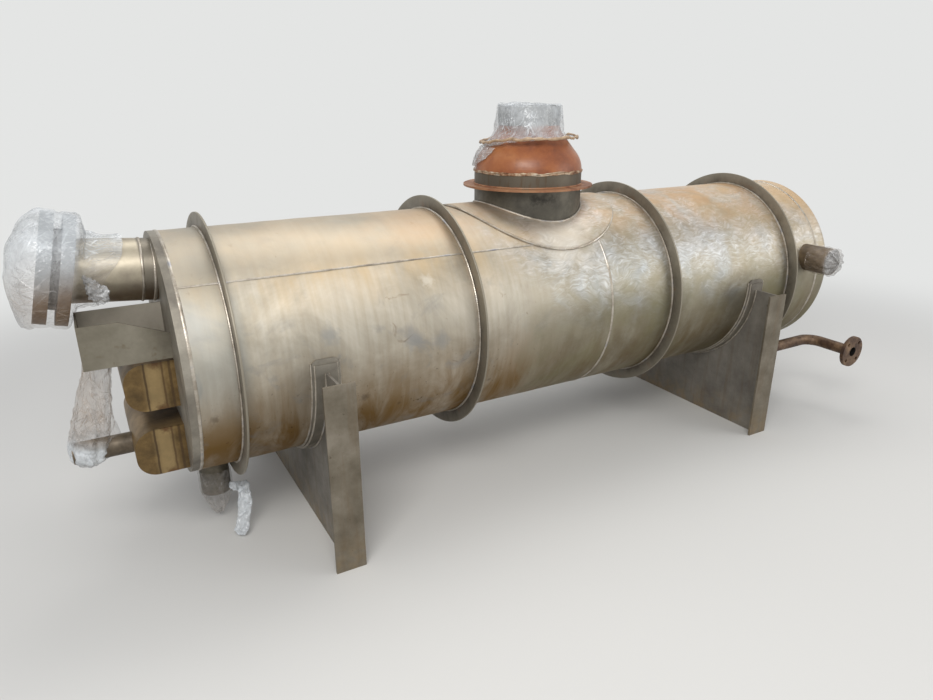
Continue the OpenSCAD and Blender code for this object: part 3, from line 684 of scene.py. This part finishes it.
# Ends. A thick flat plate at the left, and a flat head with a wide knuckle at the right.
dull_plate = worn("dull_plate", ["68625a", "847e73", "9c968a"], 0.72, (0.45, 0.62), 6.0)[0]
paint(dull_plate, "plate_steel", "left_end_plate")
head_low, head_high = corners("right_head")
HEAD_DEPTH = head_high[0] - head_low[0]
KNUCKLE = 45 * MM
outer = [(SHELL_R, 0.0), (SHELL_R, (HEAD_DEPTH - KNUCKLE) / 2)]
outer += [(SHELL_R - KNUCKLE + KNUCKLE * np.cos(a), HEAD_DEPTH - KNUCKLE + KNUCKLE * np.sin(a))
          for a in np.linspace(0, np.pi / 2, 12)]
outer += [(r, HEAD_DEPTH) for r in np.linspace(SHELL_R - KNUCKLE, 1 * MM, 12)[1:]]
inner = [(max(r - PLATE_WALL, 1 * MM), max(z - PLATE_WALL, 0.0)) for r, z in outer[::-1]]
grid = lathe(outer + inner, AXIS + (HEAD_X, 0, 0), (1, 0, 0), 240)
dish = skin("right_head_dish", grid, (True, True), heat=weld_heat(grid, np.abs(grid[..., 0] - HEAD_X)))
piece("right_head_dish", dish, steel, "mill_stainless", "right_head")


# Top nozzle. A dark neck, a flat rusty collar, a grey band with dark smudges, a ragged weld and a
# smooth reducer that has gone orange brown with rust.
neck_low, neck_high = corners("nozzle_neck")
collar_low, collar_high = corners("nozzle_collar")
NECK_R = (neck_high[0] - neck_low[0]) / 2
COLLAR_TOP = collar_high[2]
neck_plate, place = worn("neck_plate", ["45423c", "59554c", "716b60"], 0.7, (0.42, 0.6), 7.0)
above = ramp(parts(place)[2], COLLAR_TOP - 4 * MM, COLLAR_TOP)
drips = scaled(place, 40.0, 40.0, 7.0)
tint(neck_plate, above, "625a4e")
tint(neck_plate, product(above, cloud(drips, 1.0, 0.5, 0.62, (0.0, 0.75))), "5b4a38")
for x in (1.03, 1.07, 1.11):
    tint(neck_plate, product(smudge(place, (x, -0.22, 1.235), 0.032), 0.8), "2a2723")
paint(neck_plate, "plate_steel", "nozzle_neck")

rusty, place = worn("rust_smooth", ["6e3a1f", "854a27", "95582f", "a1663b"], 0.0,
                    (0.3, 0.5), 6.0, 60.0, 0.6 * MM)
tint(rusty, cloud(place, 16.0, 0.55, 0.7, (0.0, 0.6), 7.0), "6f3a1e")
paint(rusty, "rusty_plate", "reducer")
grey_pipe = worn("grey_pipe", ["5b5b59", "737370", "8a8a87"], 0.6, (0.4, 0.55), 12.0)[0]
paint(grey_pipe, "rusty_plate", "top_pipe_end")
collar_rust = worn("rust_collar", ["5f3a24", "82553a", "9b6e4c", "7b6650"], 0.15, (0.45, 0.65),
                   12.0, 80.0, 0.6 * MM)[0]
paint(collar_rust, "rusty_plate", "nozzle_collar")

bead_piece("neck_foot_weld", branch_foot(NECK_R + 3 * MM, PAD_R + 1 * MM), 9 * MM, 5 * MM, 61)
turn = circle(800)
round_shell = PAD_REACH * np.sin(turn) / SHELL_R
path = np.stack([NECK_X + PAD_REACH * np.cos(turn), (SHELL_R + 3 * MM) * np.sin(round_shell),
                 AXIS_Z + (SHELL_R + 3 * MM) * np.cos(round_shell)], 1)
out = np.stack([0 * turn, np.sin(round_shell), np.cos(round_shell)], 1)
bead_piece("pad_rim_weld", (path, out), 7 * MM, 4 * MM, 62, "mill_stainless")

for name, z, width, material in (
        ("collar_weld_under", collar_low[2] - 2 * MM, 7 * MM, dark_weld),
        ("collar_weld_over", COLLAR_TOP + 2 * MM, 8 * MM, collar_rust)):
    bead_piece(name, level_ring(NECK_R + 1 * MM, z), width, 4 * MM, 64, material=material)
ragged = worn("ragged_weld", ["64391f", "8d6a4e", "b09a80", "cabda9"], 0.3, (0.4, 0.6), 34.0)[0]
for i, (lift, width) in enumerate(((0, 8), (4, 5), (-4, 4.5))):
    path, out = level_ring(NECK_R + 0.5 * MM, neck_high[2] + lift * MM)
    path[:, 2] += 3.5 * MM * swell(path, 0.08, 70 + i)
    bead_piece(f"reducer_weld_{i + 1}", (path, out), width * MM, 3.2 * MM, 80 + i,
               "rusty_plate", ragged, uneven=0.5)


# Wrapping film. Clear stretch film in many layers, see-through, with long white creases whose
# whiteness is painted glints where the folds catch the light. "layers" is how much of the light it
# stops, "dust" how brown it is, and "round" and "down" are metres over the film. A crease is where a noise
# drawn out along it crosses one half.
FILM_STEP = 4 * MM
film, tree, place, shader = fresh("stretch_film", Roughness=0.16, Specular_IOR_Level=0.8)
layers, dust, over, down = (attribute(film, name) for name in ("layers", "dust", "round", "down"))
spot = add(tree, "CombineXYZ", {0: over, 1: down})
creases = None
for turned, size in ((0.25, (0.016, 0.2, 1)), (-0.3, (0.022, 0.26, 1)), (0.9, (0.03, 0.16, 1))):
    drawn = add(tree, "Mapping", {"Vector": spot, "Rotation": (0, 0, turned), "Scale": size},
                vector_type="TEXTURE")
    line = ramp(apart(noise(drawn, 1.0, 1.0, warp=0.6), 0.5), 0.0, 0.03, 1.0, 0.0)
    creases = calc("MAXIMUM", creases, line) if creases else line
base = add(tree, "RGB")
base.default_value = linear("dfe3e5")
tree.links.new(base, shader["Base Color"])
tint(film, dust, "8f7350")
# Painted glints: how white and opaque the creases are made.
glint_amount = cloud(place, 9.0, 0.42, 0.62, (0.0, 0.42), 4.0)
opaque = calc("ADD", product(layers, cloud(place, 11.0, 0.35, 0.65, (0.5, 1.3))),
              product(creases, glint_amount))
tree.links.new(calc("ADD", opaque, 0.05), shader["Alpha"])
relief = calc("ADD", cloud(place, 34.0, 0.2, 0.8, (0.0, 1.0), 1.0, 1.5), creases)
bump(shader, relief, 0.6, 3 * MM)


def film_skin(name, grid, wrap=(False, False), caps=False, **weights):
    """Mesh of a grid of film points, with the metres over it as attributes."""
    down = np.linalg.norm(np.diff(grid, axis=0), axis=-1).mean(1)
    over = np.linalg.norm(np.diff(grid, axis=1), axis=-1).mean(0)
    down, over = (np.concatenate([[0], np.cumsum(steps)]) for steps in (down, over))
    return skin(name, grid, wrap, caps, down=down[:, None], round=over[None], **weights)


def wrap_piece(name, mesh, covered):
    """Film piece, which stands for the covered nodes."""
    made = piece(name, mesh, film, "stretch_film", *covered)


# Inlet. The pipe slopes up from the end plate, and its flanges lean back over it. Slopes, length
# and height are those of the CAD source.
INLET_SLOPE, INLET_LEAN = np.radians((5, 14))
INLET_SINK = 0.13
INLET_REACH = 0.252
INLET_R = 0.1095
FLANGE_R = 0.1875
STACK = 0.104
DOME = 0.088
SLEEVE_END = RIM_X - 0.046
INLET_FOOT = np.array((RIM_X, 0.0, AXIS_Z + SHELL_R - INLET_SINK))
PIPE_WAY = np.array((-np.cos(INLET_SLOPE), 0.0, np.sin(INLET_SLOPE)))
FACE_WAY = np.array((-np.cos(INLET_LEAN), 0.0, np.sin(INLET_LEAN)))
FACE_SPOT = INLET_FOOT + INLET_REACH / np.cos(INLET_SLOPE) * PIPE_WAY

flange_steel, place = worn("flange_steel", ["54402d", "6b5238", "7d6448"], 0.4, (0.42, 0.6), 9.0)
# Painted light: the flanges turn a lighter grey high up, a painted highlight, and their dark brown lower
# part is partly rust and partly painted shade.
lit_height = calc("ADD", parts(place)[2], cloud(place, 9.0, 0.3, 0.7, (-0.03, 0.03)))
tint(flange_steel, ramp(lit_height, FACE_SPOT[2] - 0.05, FACE_SPOT[2] + 0.04), "8b8e8f")
paint(flange_steel, "rusty_steel", "inlet_flange", "inlet_blind_flange")
paint(worn("spacer_steel", ["352e28", "4a4037"], 0.4)[0], "rusty_steel", "inlet_spacer")

pipe_steel, place = worn("pipe_steel", ["978d7e", "ada390", "bdb3a0"], 0.8, (0.35, 0.5), 8.0)
sleeve = ramp(parts(place)[0], SLEEVE_END, SLEEVE_END + 6 * MM)
tint(pipe_steel, product(sleeve, 0.8), "726c62")
belly = ramp(parts(place)[2], INLET_FOOT[2] - 0.01, INLET_FOOT[2] - 0.09)
tint(pipe_steel, product(belly, cloud(place, 9.0, 0.3, 0.6, (0.3, 0.9))), "6d543b")
paint(pipe_steel, "mill_stainless", "inlet_pipe")

for name, reach, width in (("inlet_pipe_weld", 0.043, 9 * MM), ("inlet_foot_weld", 0.004, 11 * MM)):
    line = ring_path(INLET_FOOT + reach * PIPE_WAY, PIPE_WAY, INLET_R + 0.5 * MM)
    bead_piece(name, line, width, 2.6 * MM, 98, "mill_stainless")


def inlet_film():
    """Film along the pipe in pleats and over the flanges, which bulges low in front of them. Its
    rows are carried round the flanges' axis, and those on the pipe are moved over to the pipe's."""
    wide = FLANGE_R + 7 * MM
    profile = [(INLET_R + 4 * MM, -0.108), (INLET_R + 6 * MM, -0.06), (INLET_R + 14 * MM, -0.022),
               (FLANGE_R - 30 * MM, -0.013), (FLANGE_R, -0.006), (wide, 0.004), (wide, 0.038),
               (wide - 5 * MM, 0.05), (wide, 0.063), (wide, STACK)]
    profile += [(wide * np.cos(a), STACK + DOME * np.sin(a) ** 1.15)
                for a in np.linspace(0, np.pi / 2, 16)[1:-1]]
    profile = resampled(profile + [(2 * MM, STACK + DOME)], FILM_STEP)
    grid = lathe(profile, FACE_SPOT, FACE_WAY, 260)
    along = profile[:, 1][:, None] + np.zeros(grid.shape[:2])
    out = outward(grid, FACE_SPOT + 0.04 * FACE_WAY)
    angle = np.arctan2(grid[..., 2] - FACE_SPOT[2], grid[..., 1])
    shift = share(-along / 0.022) ** 2 * along
    grid += shift[..., None] * (PIPE_WAY / np.dot(PIPE_WAY, FACE_WAY) - FACE_WAY)
    on_pipe = share((0.01 - along) / 0.04)
    on_front = share((along - STACK + 0.01) / 0.04)
    upper = share(0.5 + 0.9 * np.sin(angle))
    under = share(-np.sin(angle) - 0.3)
    pleats = np.sin(15 * angle + 2.5 * swell(grid, 0.2, 91)) * 4 * MM * on_pipe
    pleats += on_pipe * upper * 9 * MM * (1 + swell(grid, 0.09, 90))
    grid = crumple(grid + out * pleats[..., None], out, 0.12, 1.8 * MM, 92)
    slack = (0.4 * on_pipe + on_front) * 3.5 * MM * swell(grid, 0.1, 93)
    grid = grid + out * slack[..., None]
    grid[..., 2] -= 24 * MM * under * (0.2 + on_front) * (1 + 0.6 * swell(grid, 0.07, 94))
    edge = share((-0.06 - along) / 0.07)
    grid[..., 0] += edge * 0.045 * (np.sin(angle) + 0.5 * swell(grid, 0.12, 95))
    # The film is whiter on its upper side, partly for more layers there and partly as a painted highlight.
    layer = 0.1 + 0.26 * upper + 0.06 * on_front - 0.06 * on_pipe + 0.4 * under * on_front
    layer += 0.12 * (1 - upper) * on_front
    return film_skin("inlet_film", grid, (False, True), layers=np.clip(layer, 0.05, 0.8),
                     dust=0.03 + 0.75 * (1 - upper) * (1 - on_front * under))


def film_knot():
    """The knot of film that is tied below the pipe, before the flanges."""
    profile = resampled([(1 * MM, -0.05), (18 * MM, -0.044), (32 * MM, -0.018), (28 * MM, 0.01),
                         (15 * MM, 0.034), (8 * MM, 0.06), (1 * MM, 0.068)], 3 * MM)
    middle = FACE_SPOT - 0.062 * FACE_WAY + (0, -INLET_R - 0.016, -0.035)
    grid = lathe(profile, middle, (-0.5, 0.05, 0.86), 48)
    grid = crumple(grid, normals(grid), 0.035, 5 * MM, 97)
    return film_skin("knot", grid, (False, True), layers=0.3, dust=0.2)


knot_piece = piece("inlet_film_knot", film_knot(), film, "stretch_film")
wrap_piece("inlet_film_wrap", inlet_film(), ["inlet_film"])


# Return boxes and their covers. Golden brown from heat and set darker as painted shade, with dark
# lines and a pale band across, and half-round brown burns at the top and bottom edges.
upper_low, upper_high = corners("return_box_upper_covers")
lower_low, lower_high = corners("return_box_lower_covers")
BOX_X = upper_low[0]
# Painted shade: the covers' golden tones are darker than the metal in light.
golden, place = worn("golden_cover", ["4c3a1c", "654f2b", "80683f"], 0.35, (0.4, 0.55), 14.0)
across = calc("ADD", parts(place)[0], cloud(place, 30.0, 0.0, 1.0, (-0.003, 0.003)))
for reach, half, colour, strength in ((0.098, 0.026, "a08a60", 0.5), (0.069, 0.003, "3a2813", 0.8),
                                      (0.126, 0.003, "4a341c", 0.7), (0.15, 0.004, "3f2d18", 0.7)):
    off = apart(across, BOX_X + reach)
    tint(golden, ramp(off, half * 0.6, half * 1.6, strength, 0.0), colour)
for z in (upper_high[2], upper_low[2], lower_high[2], lower_low[2]):
    burn = smudge(place, (BOX_X + 0.108, upper_low[1], z), 0.03)
    tint(golden, product(burn, 0.85), "543618")
paint(golden, "tinted_stainless", "return_box_upper_covers", "return_box_lower_covers")
box_plate = worn("box_plate", ["54442e", "6f5a3a", "886f49"], 0.5, (0.4, 0.55), 7.0)[0]
paint(box_plate, "tinted_stainless", "return_box_upper", "return_box_lower")


# Bracket. Three thin bare plates, dull grey; the back one is painted paler, painted light that makes up
# for the pipe's shadow on it.
bare, place = worn("bracket_plate", ["666054", "7a7466", "8b8577"], 0.7, (0.4, 0.55), 5.0)
tint(bare, cloud(place, 22.0, 0.6, 0.68, (0.0, 0.5)), "6a5c48")
paint(bare, "plate_steel", "bracket_front_plate", "bracket_end_plate")
# Painted light: the back plate is paler against the pipe's shadow.
paint(worn("bracket_back_plate_lit", ["989183", "aca496", "bdb5a6"], 0.6, (0.4, 0.55), 5.0)[0],
      "plate_steel", "bracket_back_plate")


# Film over the top pipe, tied down into a skirt whose rolled edge has gone tan. At the left the
# edge hangs lower, and a flap of the film hangs on down the reducer.
pipe_end_high = corners("top_pipe_end")[1]
PIPE_TOP = pipe_end_high[2]
PIPE_R = pipe_end_high[0] - NECK_X
SKIRT_Z = neck_high[2] + 0.132
SKIRT_R = 0.214
SKIRT_DROP = 0.055
LEFT = np.arctan2(0.5, -0.87)


def reducer_face():
    """Heights and radii of the reducer's outer face, read from its CAD node."""
    points = np.array([vertex.co[:] for vertex in nodes["reducer"].data.vertices])
    ways = np.array([vertex.normal[:] for vertex in nodes["reducer"].data.vertices])
    radii = np.hypot(points[:, 0] - NECK_X, points[:, 1])
    facing = np.sum(ways[:, :2] * (points[:, :2] - (NECK_X, 0)), 1) > 0
    order = np.argsort(points[facing, 2])
    levels = np.linspace(points[:, 2].min(), points[:, 2].max(), 24)
    return levels, np.interp(levels, points[facing, 2][order], radii[facing][order])


LEVELS, FACE = reducer_face()


def face_radius(z):
    """Radius of the reducer's outer face at a height."""
    return np.interp(z, LEVELS, FACE)


def top_film():
    """Grid of the film down to its skirt's edge, and how far each point is down it and into the
    skirt, from 0 to 1."""
    throat = LEVELS > SKIRT_Z + 0.01
    profile = [(2 * MM, PIPE_TOP + 6 * MM), (0.6 * PIPE_R, PIPE_TOP + 5 * MM),
               (PIPE_R - 2 * MM, PIPE_TOP + 4 * MM), (PIPE_R + 5 * MM, PIPE_TOP - 3 * MM),
               (PIPE_R + 10 * MM, PIPE_TOP - 40 * MM), (PIPE_R + 16 * MM, PIPE_TOP - 78 * MM)]
    profile += [(max(r + 8 * MM, PIPE_R + 16 * MM), z)
                for r, z in zip(FACE[throat][::-1], LEVELS[throat][::-1])]
    profile += [(face_radius(SKIRT_Z) + 12 * MM, SKIRT_Z + 6 * MM), (SKIRT_R, SKIRT_Z + 12 * MM)]
    grid = lathe(resampled(profile, FILM_STEP), (NECK_X, 0, 0), (0, 0, 1), 240)
    out = outward(grid, (NECK_X, 0, 1.45))
    angle = np.arctan2(grid[..., 1], grid[..., 0] - NECK_X)
    drop = share((PIPE_TOP - grid[..., 2]) / (PIPE_TOP - SKIRT_Z))
    pleat = np.sin(13 * angle + 3 * swell(grid, 0.25, 101)) * 2.5 * MM * drop
    grid = crumple(grid + out * pleat[..., None], out, 0.14, 1.8 * MM, 102)
    skirt = share((drop - 0.86) / 0.14)
    grid[..., 2] += skirt * 5 * MM * (swell(grid, 0.3, 103) - 0.6 + np.cos(angle + 0.7))
    grid[..., 2] -= SKIRT_DROP * skirt * ((1 + np.cos(angle - LEFT)) / 2) ** 4
    reach = np.hypot(grid[..., 0] - NECK_X, grid[..., 1])
    clear = face_radius(grid[..., 2]) + (8 + 6 * skirt) * MM
    wider = np.where(skirt > 0, np.maximum(clear / reach, 1), 1)
    grid[..., 0] = NECK_X + (grid[..., 0] - NECK_X) * wider
    grid[..., 1] *= wider
    grid[..., 2] += share(1 - drop * 6) * 5 * MM * swell(grid, 0.1, 104)
    return grid, drop, skirt


def top_flap():
    """Grid of the flap that hangs down the reducer at the left and narrows on its way."""
    rows = resampled([(face_radius(SKIRT_Z - low) + off * MM, SKIRT_Z - low)
                      for low, off in ((0.03, 18), (0.06, 14), (0.11, 9))], FILM_STEP)
    t = np.linspace(0, 1, len(rows))[:, None]
    turn = LEFT + np.linspace(-0.75, 0.75, 70)
    spread = LEFT + (turn - LEFT)[None] * (1 - 0.55 * t**1.5)
    flap = np.stack([NECK_X + rows[:, :1] * np.cos(spread), rows[:, :1] * np.sin(spread),
                     rows[:, 1:] + 0 * spread], -1)
    out = np.stack([np.cos(spread), np.sin(spread), 0.3 + 0 * spread], -1)
    flap = crumple(flap, out, 0.05, 4 * MM, 105)
    flap[..., 2] += t**3 * 16 * MM * swell(flap, 0.05, 106)
    return flap


grid, drop, skirt = top_film()
rim_line = grid[-1]
top_mesh = joined("top_film", [
    film_skin("top", grid, (False, True), layers=share(0.48 - 0.16 * drop + 0.2 * skirt),
              dust=0.05 + 0.5 * skirt),
    film_skin("flap", top_flap(), layers=0.35, dust=0.3)])
tan_film = worn("tan_rolled_film", ["826b54", "a68b6e", "bda586"], 0.0, (0.35, 0.5), 40.0, 150.0,
                1.5 * MM)[0]
up = np.tile((0.0, 0.0, 1.0), (len(rim_line), 1))
edge_piece = bead_piece("top_film_rolled_edge", (rim_line, up), 11 * MM, 6 * MM, 107,
                        "stretch_film", tan_film, uneven=0.35)
wrap_piece("top_film_wrap", top_mesh, ["top_film"])


# Lower stub on the return box, a brown pipe with its end in a crumpled bag of film that is drawn
# up to the bracket. The bag is white round the stub and brown above.
stub_low, stub_high = corners("lower_stub_pipe")
BAG_LEAN = np.radians(14)
BAG_WAY = np.array((np.sin(BAG_LEAN), 0.0, np.cos(BAG_LEAN)))
BAG_FOOT = np.array((stub_low[0] + 0.04, (stub_low[1] + stub_high[1]) / 2, stub_low[2] - 3 * MM))
BAG_HEIGHT = 0.375
brown_pipe = worn("brown_pipe", ["443a2e", "5d5243", "776a58"], 0.4, (0.45, 0.62), 16.0)[0]
paint(brown_pipe, "rusty_steel", "lower_stub_pipe")


def lower_bag():
    """A strip carried round a leaning axis, whose end laps over its start and stands off it."""
    profile = resampled([(2 * MM, -0.012), (0.03, -0.008), (0.05, 0.012), (0.061, 0.06), (0.058, 0.14),
                         (0.05, 0.24), (0.042, 0.31), (0.04, BAG_HEIGHT)], FILM_STEP)
    t = share(profile[:, 1:] / BAG_HEIGHT)
    lap = np.linspace(0, 1, 150)
    turn = 1.5 * np.pi - 0.3 + (2 * np.pi + 0.5) * lap
    free = share((lap - 0.88) / 0.12) ** 1.5 * share(1 - np.abs(t - 0.22) / 0.3)
    spoke = np.cos(turn)[:, None] * (0, 1, 0) + np.sin(turn)[:, None] * np.cross(BAG_WAY, (0, 1, 0))
    reach = profile[:, :1] + 0.045 * free + 2 * MM * lap
    grid = BAG_FOOT + profile[:, None, 1:] * BAG_WAY + reach[..., None] * spoke
    out = spoke + np.zeros_like(grid)
    folds = np.sin(8 * turn + 5 * t) * 3.5 * MM
    grid = crumple(grid + out * folds[..., None], out, 0.07, 3 * MM, 111)
    white = share(1.5 - np.abs(t - 0.1) / 0.14) + 0 * lap
    return film_skin("lower_bag", grid, layers=0.24 + 0.5 * white,
                     dust=0.75 + 0.15 * t - 0.75 * white)


wrap_piece("lower_stub_bag", lower_bag(), ["lower_stub_film"])


# Bottom outlet. A grimy pipe under the shell, its end wrapped to a point, with a crumpled white
# tail of film that hangs from the wrap to the ground.
outlet_low, outlet_high = corners("bottom_outlet_pipe")
OUTLET_X, OUTLET_Y = ((outlet_low + outlet_high) / 2)[:2]
OUTLET_R = (outlet_high[0] - outlet_low[0]) / 2
OUTLET_END = outlet_low[2]
grimy = worn("grimy_pipe", ["48433a", "5d574b", "716a5c"], 0.65, (0.4, 0.55), 14.0)[0]
paint(grimy, "mill_stainless", "bottom_outlet_pipe")


def outlet_film():
    """Film round the pipe's end, twisted to a point below it."""
    profile = [(r, OUTLET_END + z) for r, z in (
        (OUTLET_R + 3 * MM, 0.1), (OUTLET_R + 5 * MM, 0.05), (OUTLET_R + 4 * MM, -0.004),
        (0.046, -0.04), (0.028, -0.08), (0.014, -0.104), (2 * MM, -0.106))]
    grid = lathe(resampled(profile, FILM_STEP), (OUTLET_X, OUTLET_Y, 0), (0, 0, 1), 120)
    out = outward(grid, (OUTLET_X, OUTLET_Y, OUTLET_END))
    angle = np.arctan2(grid[..., 1] - OUTLET_Y, grid[..., 0] - OUTLET_X)
    twist = np.sin(8 * angle + 40 * (grid[..., 2] - OUTLET_END)) * 3 * MM
    low_part = share((OUTLET_END + 0.03 - grid[..., 2]) / 0.08)
    grid = crumple(grid + out * (twist * (0.3 + low_part))[..., None], out, 0.06, 2.5 * MM, 121)
    return film_skin("outlet_film", grid, (False, True), layers=0.12 + 0.15 * low_part, dust=0.5)


def tail_film():
    """The tail: a flat round carried along a line from the wrap to the ground and crumpled."""
    line = resampled([(OUTLET_X + 0.052, -0.052, OUTLET_END + 0.02),
                      (OUTLET_X + 0.088, -0.082, OUTLET_END + 0.034),
                      (OUTLET_X + 0.086, -0.112, OUTLET_END - 0.02),
                      (OUTLET_X + 0.064, -0.15, OUTLET_END - 0.08),
                      (OUTLET_X + 0.04, -0.183, 0.012)], 3 * MM)
    for _ in range(12):
        line[1:-1] = (line[:-2] + 2 * line[1:-1] + line[2:]) / 4
    t = np.linspace(0, 1, len(line))[:, None]
    ahead = unit(np.gradient(line, axis=0))
    view_side = np.array((0.869, -0.495, 0.0))
    broad = unit(view_side - ahead * (ahead @ view_side)[:, None])
    thin = np.cross(ahead, broad)
    turn = circle(44)
    half = np.interp(t, [0, 0.15, 0.4, 0.7, 0.93, 1], [0.022, 0.03, 0.022, 0.024, 0.03, 0.014])
    grid = (line[:, None] + broad[:, None] * (half * np.cos(turn))[..., None]
            + thin[:, None] * (half * 0.33 * np.sin(turn))[..., None])
    out = broad[:, None] * np.cos(turn)[:, None] * 0.5 + thin[:, None] * np.sin(turn)[:, None]
    grid = crumple(grid, out, 0.045, 5.5 * MM, 131)
    grid = grid + broad[:, None] * (6 * MM * swell(grid, 0.05, 132))[..., None]
    grid[..., 2] = np.maximum(grid[..., 2], 0.5 * MM)
    return film_skin("tail", grid, (False, True), True, layers=0.75, dust=0.0)


wrap_piece("bottom_outlet_wrap", outlet_film(), ["bottom_outlet_film"])
wrap_piece("film_tail_crumpled", tail_film(), ["film_tail"])


# Side nozzle beside the head, its pipe brown under the wrap and its end in crumpled white film.
side_low, side_high = corners("side_nozzle_pipe")
SIDE_X, _, SIDE_Z = (side_low + side_high) / 2
SIDE_R = (side_high[2] - side_low[2]) / 2
SIDE_END = -side_low[1]
tanned = worn("tanned_pipe", ["443829", "5c4d3a", "75644d"], 0.4, (0.42, 0.58), 15.0)[0]
paint(tanned, "tinted_stainless", "side_nozzle_pipe")


def side_film():
    """Film round the pipe, gathered over its end."""
    cap_r, cap_y = SIDE_R + 3 * MM, SIDE_END + 2 * MM
    profile = [(SIDE_R + 2 * MM, SIDE_END - 0.105), (SIDE_R + 4 * MM, SIDE_END - 0.07),
               (SIDE_R + 3 * MM, SIDE_END - 0.02), (SIDE_R + 4 * MM, cap_y)]
    profile += [(cap_r * np.cos(a), cap_y + 0.034 * np.sin(a))
                for a in np.linspace(0, np.pi / 2, 9)[1:-1]]
    profile = resampled(profile + [(2 * MM, SIDE_END + 0.036)], 3.5 * MM)
    grid = lathe(profile, (SIDE_X, 0, SIDE_Z), (0, -1, 0), 150)
    out = outward(grid, (SIDE_X, 0.03 - SIDE_END, SIDE_Z))
    angle = np.arctan2(grid[..., 2] - SIDE_Z, grid[..., 0] - SIDE_X)
    tip = share((-grid[..., 1] - SIDE_END + 0.01) / 0.02)
    folds = np.sin(11 * angle + 60 * grid[..., 1]) * 2.5 * MM * (0.5 + tip)
    grid = crumple(grid + out * folds[..., None], out, 0.045, 2.6 * MM, 141)
    return film_skin("side_film", grid, (False, True), layers=0.15 + 0.25 * tip,
                     dust=0.8 - 0.45 * tip)


wrap_piece("side_nozzle_wrap", side_film(), ["side_nozzle_film"])


# Drain. A rusty pipe along past the head and out to a flange, whose bore is painted near black as painted
# shade.
BORE_R = 25 * MM
drain_rust, place = worn("drain_rust", ["35241a", "4d382a", "67503b", "83694f"], 0.25,
                         (0.5, 0.7), 18.0, 90.0, 0.8 * MM)
tint(drain_rust, cloud(place, 30.0, 0.58, 0.66, (0.0, 0.7)), "3e2617")
bore_middle = sum(corners("drain_flange")) / 2
no_y = (1, 0, 1)
level = add(place.id_data, "VectorMath", {0: place, 1: no_y}, operation="MULTIPLY")
off_axis = distance(level, bore_middle * no_y)
# Painted shade: near black inside the flange's bore.
tint(drain_rust, ramp(off_axis, BORE_R, BORE_R + 1 * MM, 1.0, 0.0), "0e0b08")
paint(drain_rust, "rusty_steel", "drain_pipe", "drain_leg", "drain_flange")


# Saddles. Cut plate with soil on the feet; web, cradle and wear pad are welded along both edges.
# SADDLE_WELDS has each weld's distance from the shell and how far below the plate's top it ends.
SADDLE_WELDS = {"pad": (2 * MM, 12 * MM), "cradle": (8 * MM, 0), "web": (17 * MM, 0)}


def soiled(made, place):
    """A saddle's material with soil on its foot, dark specks and faint runs."""
    soil = ramp(parts(place)[2], 0.16, 0.01)
    tint(made, product(soil, cloud(place, 16.0, 0.45, 0.6, (0.1, 0.6))), "8f7b5c")
    tint(made, cloud(place, 45.0, 0.68, 0.74, (0.0, 0.7), 3.0), "4a3b2c")
    drips = scaled(place, 30.0, 30.0, 2.5)
    tint(made, cloud(drips, 1.0, 0.52, 0.66, (0.0, 0.35)), "6b5a45")
    return made


web_plate = soiled(*worn("saddle_web_plate", ["66615a", "7a756d", "8b867d"], 0.55, (0.45, 0.65), 5.0))
side_plate = soiled(*worn("saddle_side_plate", ["61594b", "756d5f", "888073"], 0.6, (0.42, 0.6), 7.0))
for saddle in ("left_saddle", "right_saddle"):
    paint(web_plate, "saddle_plate", f"{saddle}_web")
    paint(side_plate, "saddle_plate", f"{saddle}_side_plates")
    paint(dull_plate, "plate_steel", f"{saddle}_pad", f"{saddle}_cradle")
    for part, (off_shell, below) in SADDLE_WELDS.items():
        plate_low, plate_high = corners(f"{saddle}_{part}")
        radius = SHELL_R + off_shell
        first = np.arccos((plate_high[2] - AXIS_Z - below) / radius)
        for x, word in ((plate_low[0] - 1 * MM, "left"), (plate_high[0] + 1 * MM, "right")):
            line = hoop(x, radius, first, 2 * np.pi - first)
            bead_piece(f"{saddle}_{part}_weld_{word}", line, 7 * MM, 3.5 * MM, 150, closed=False)
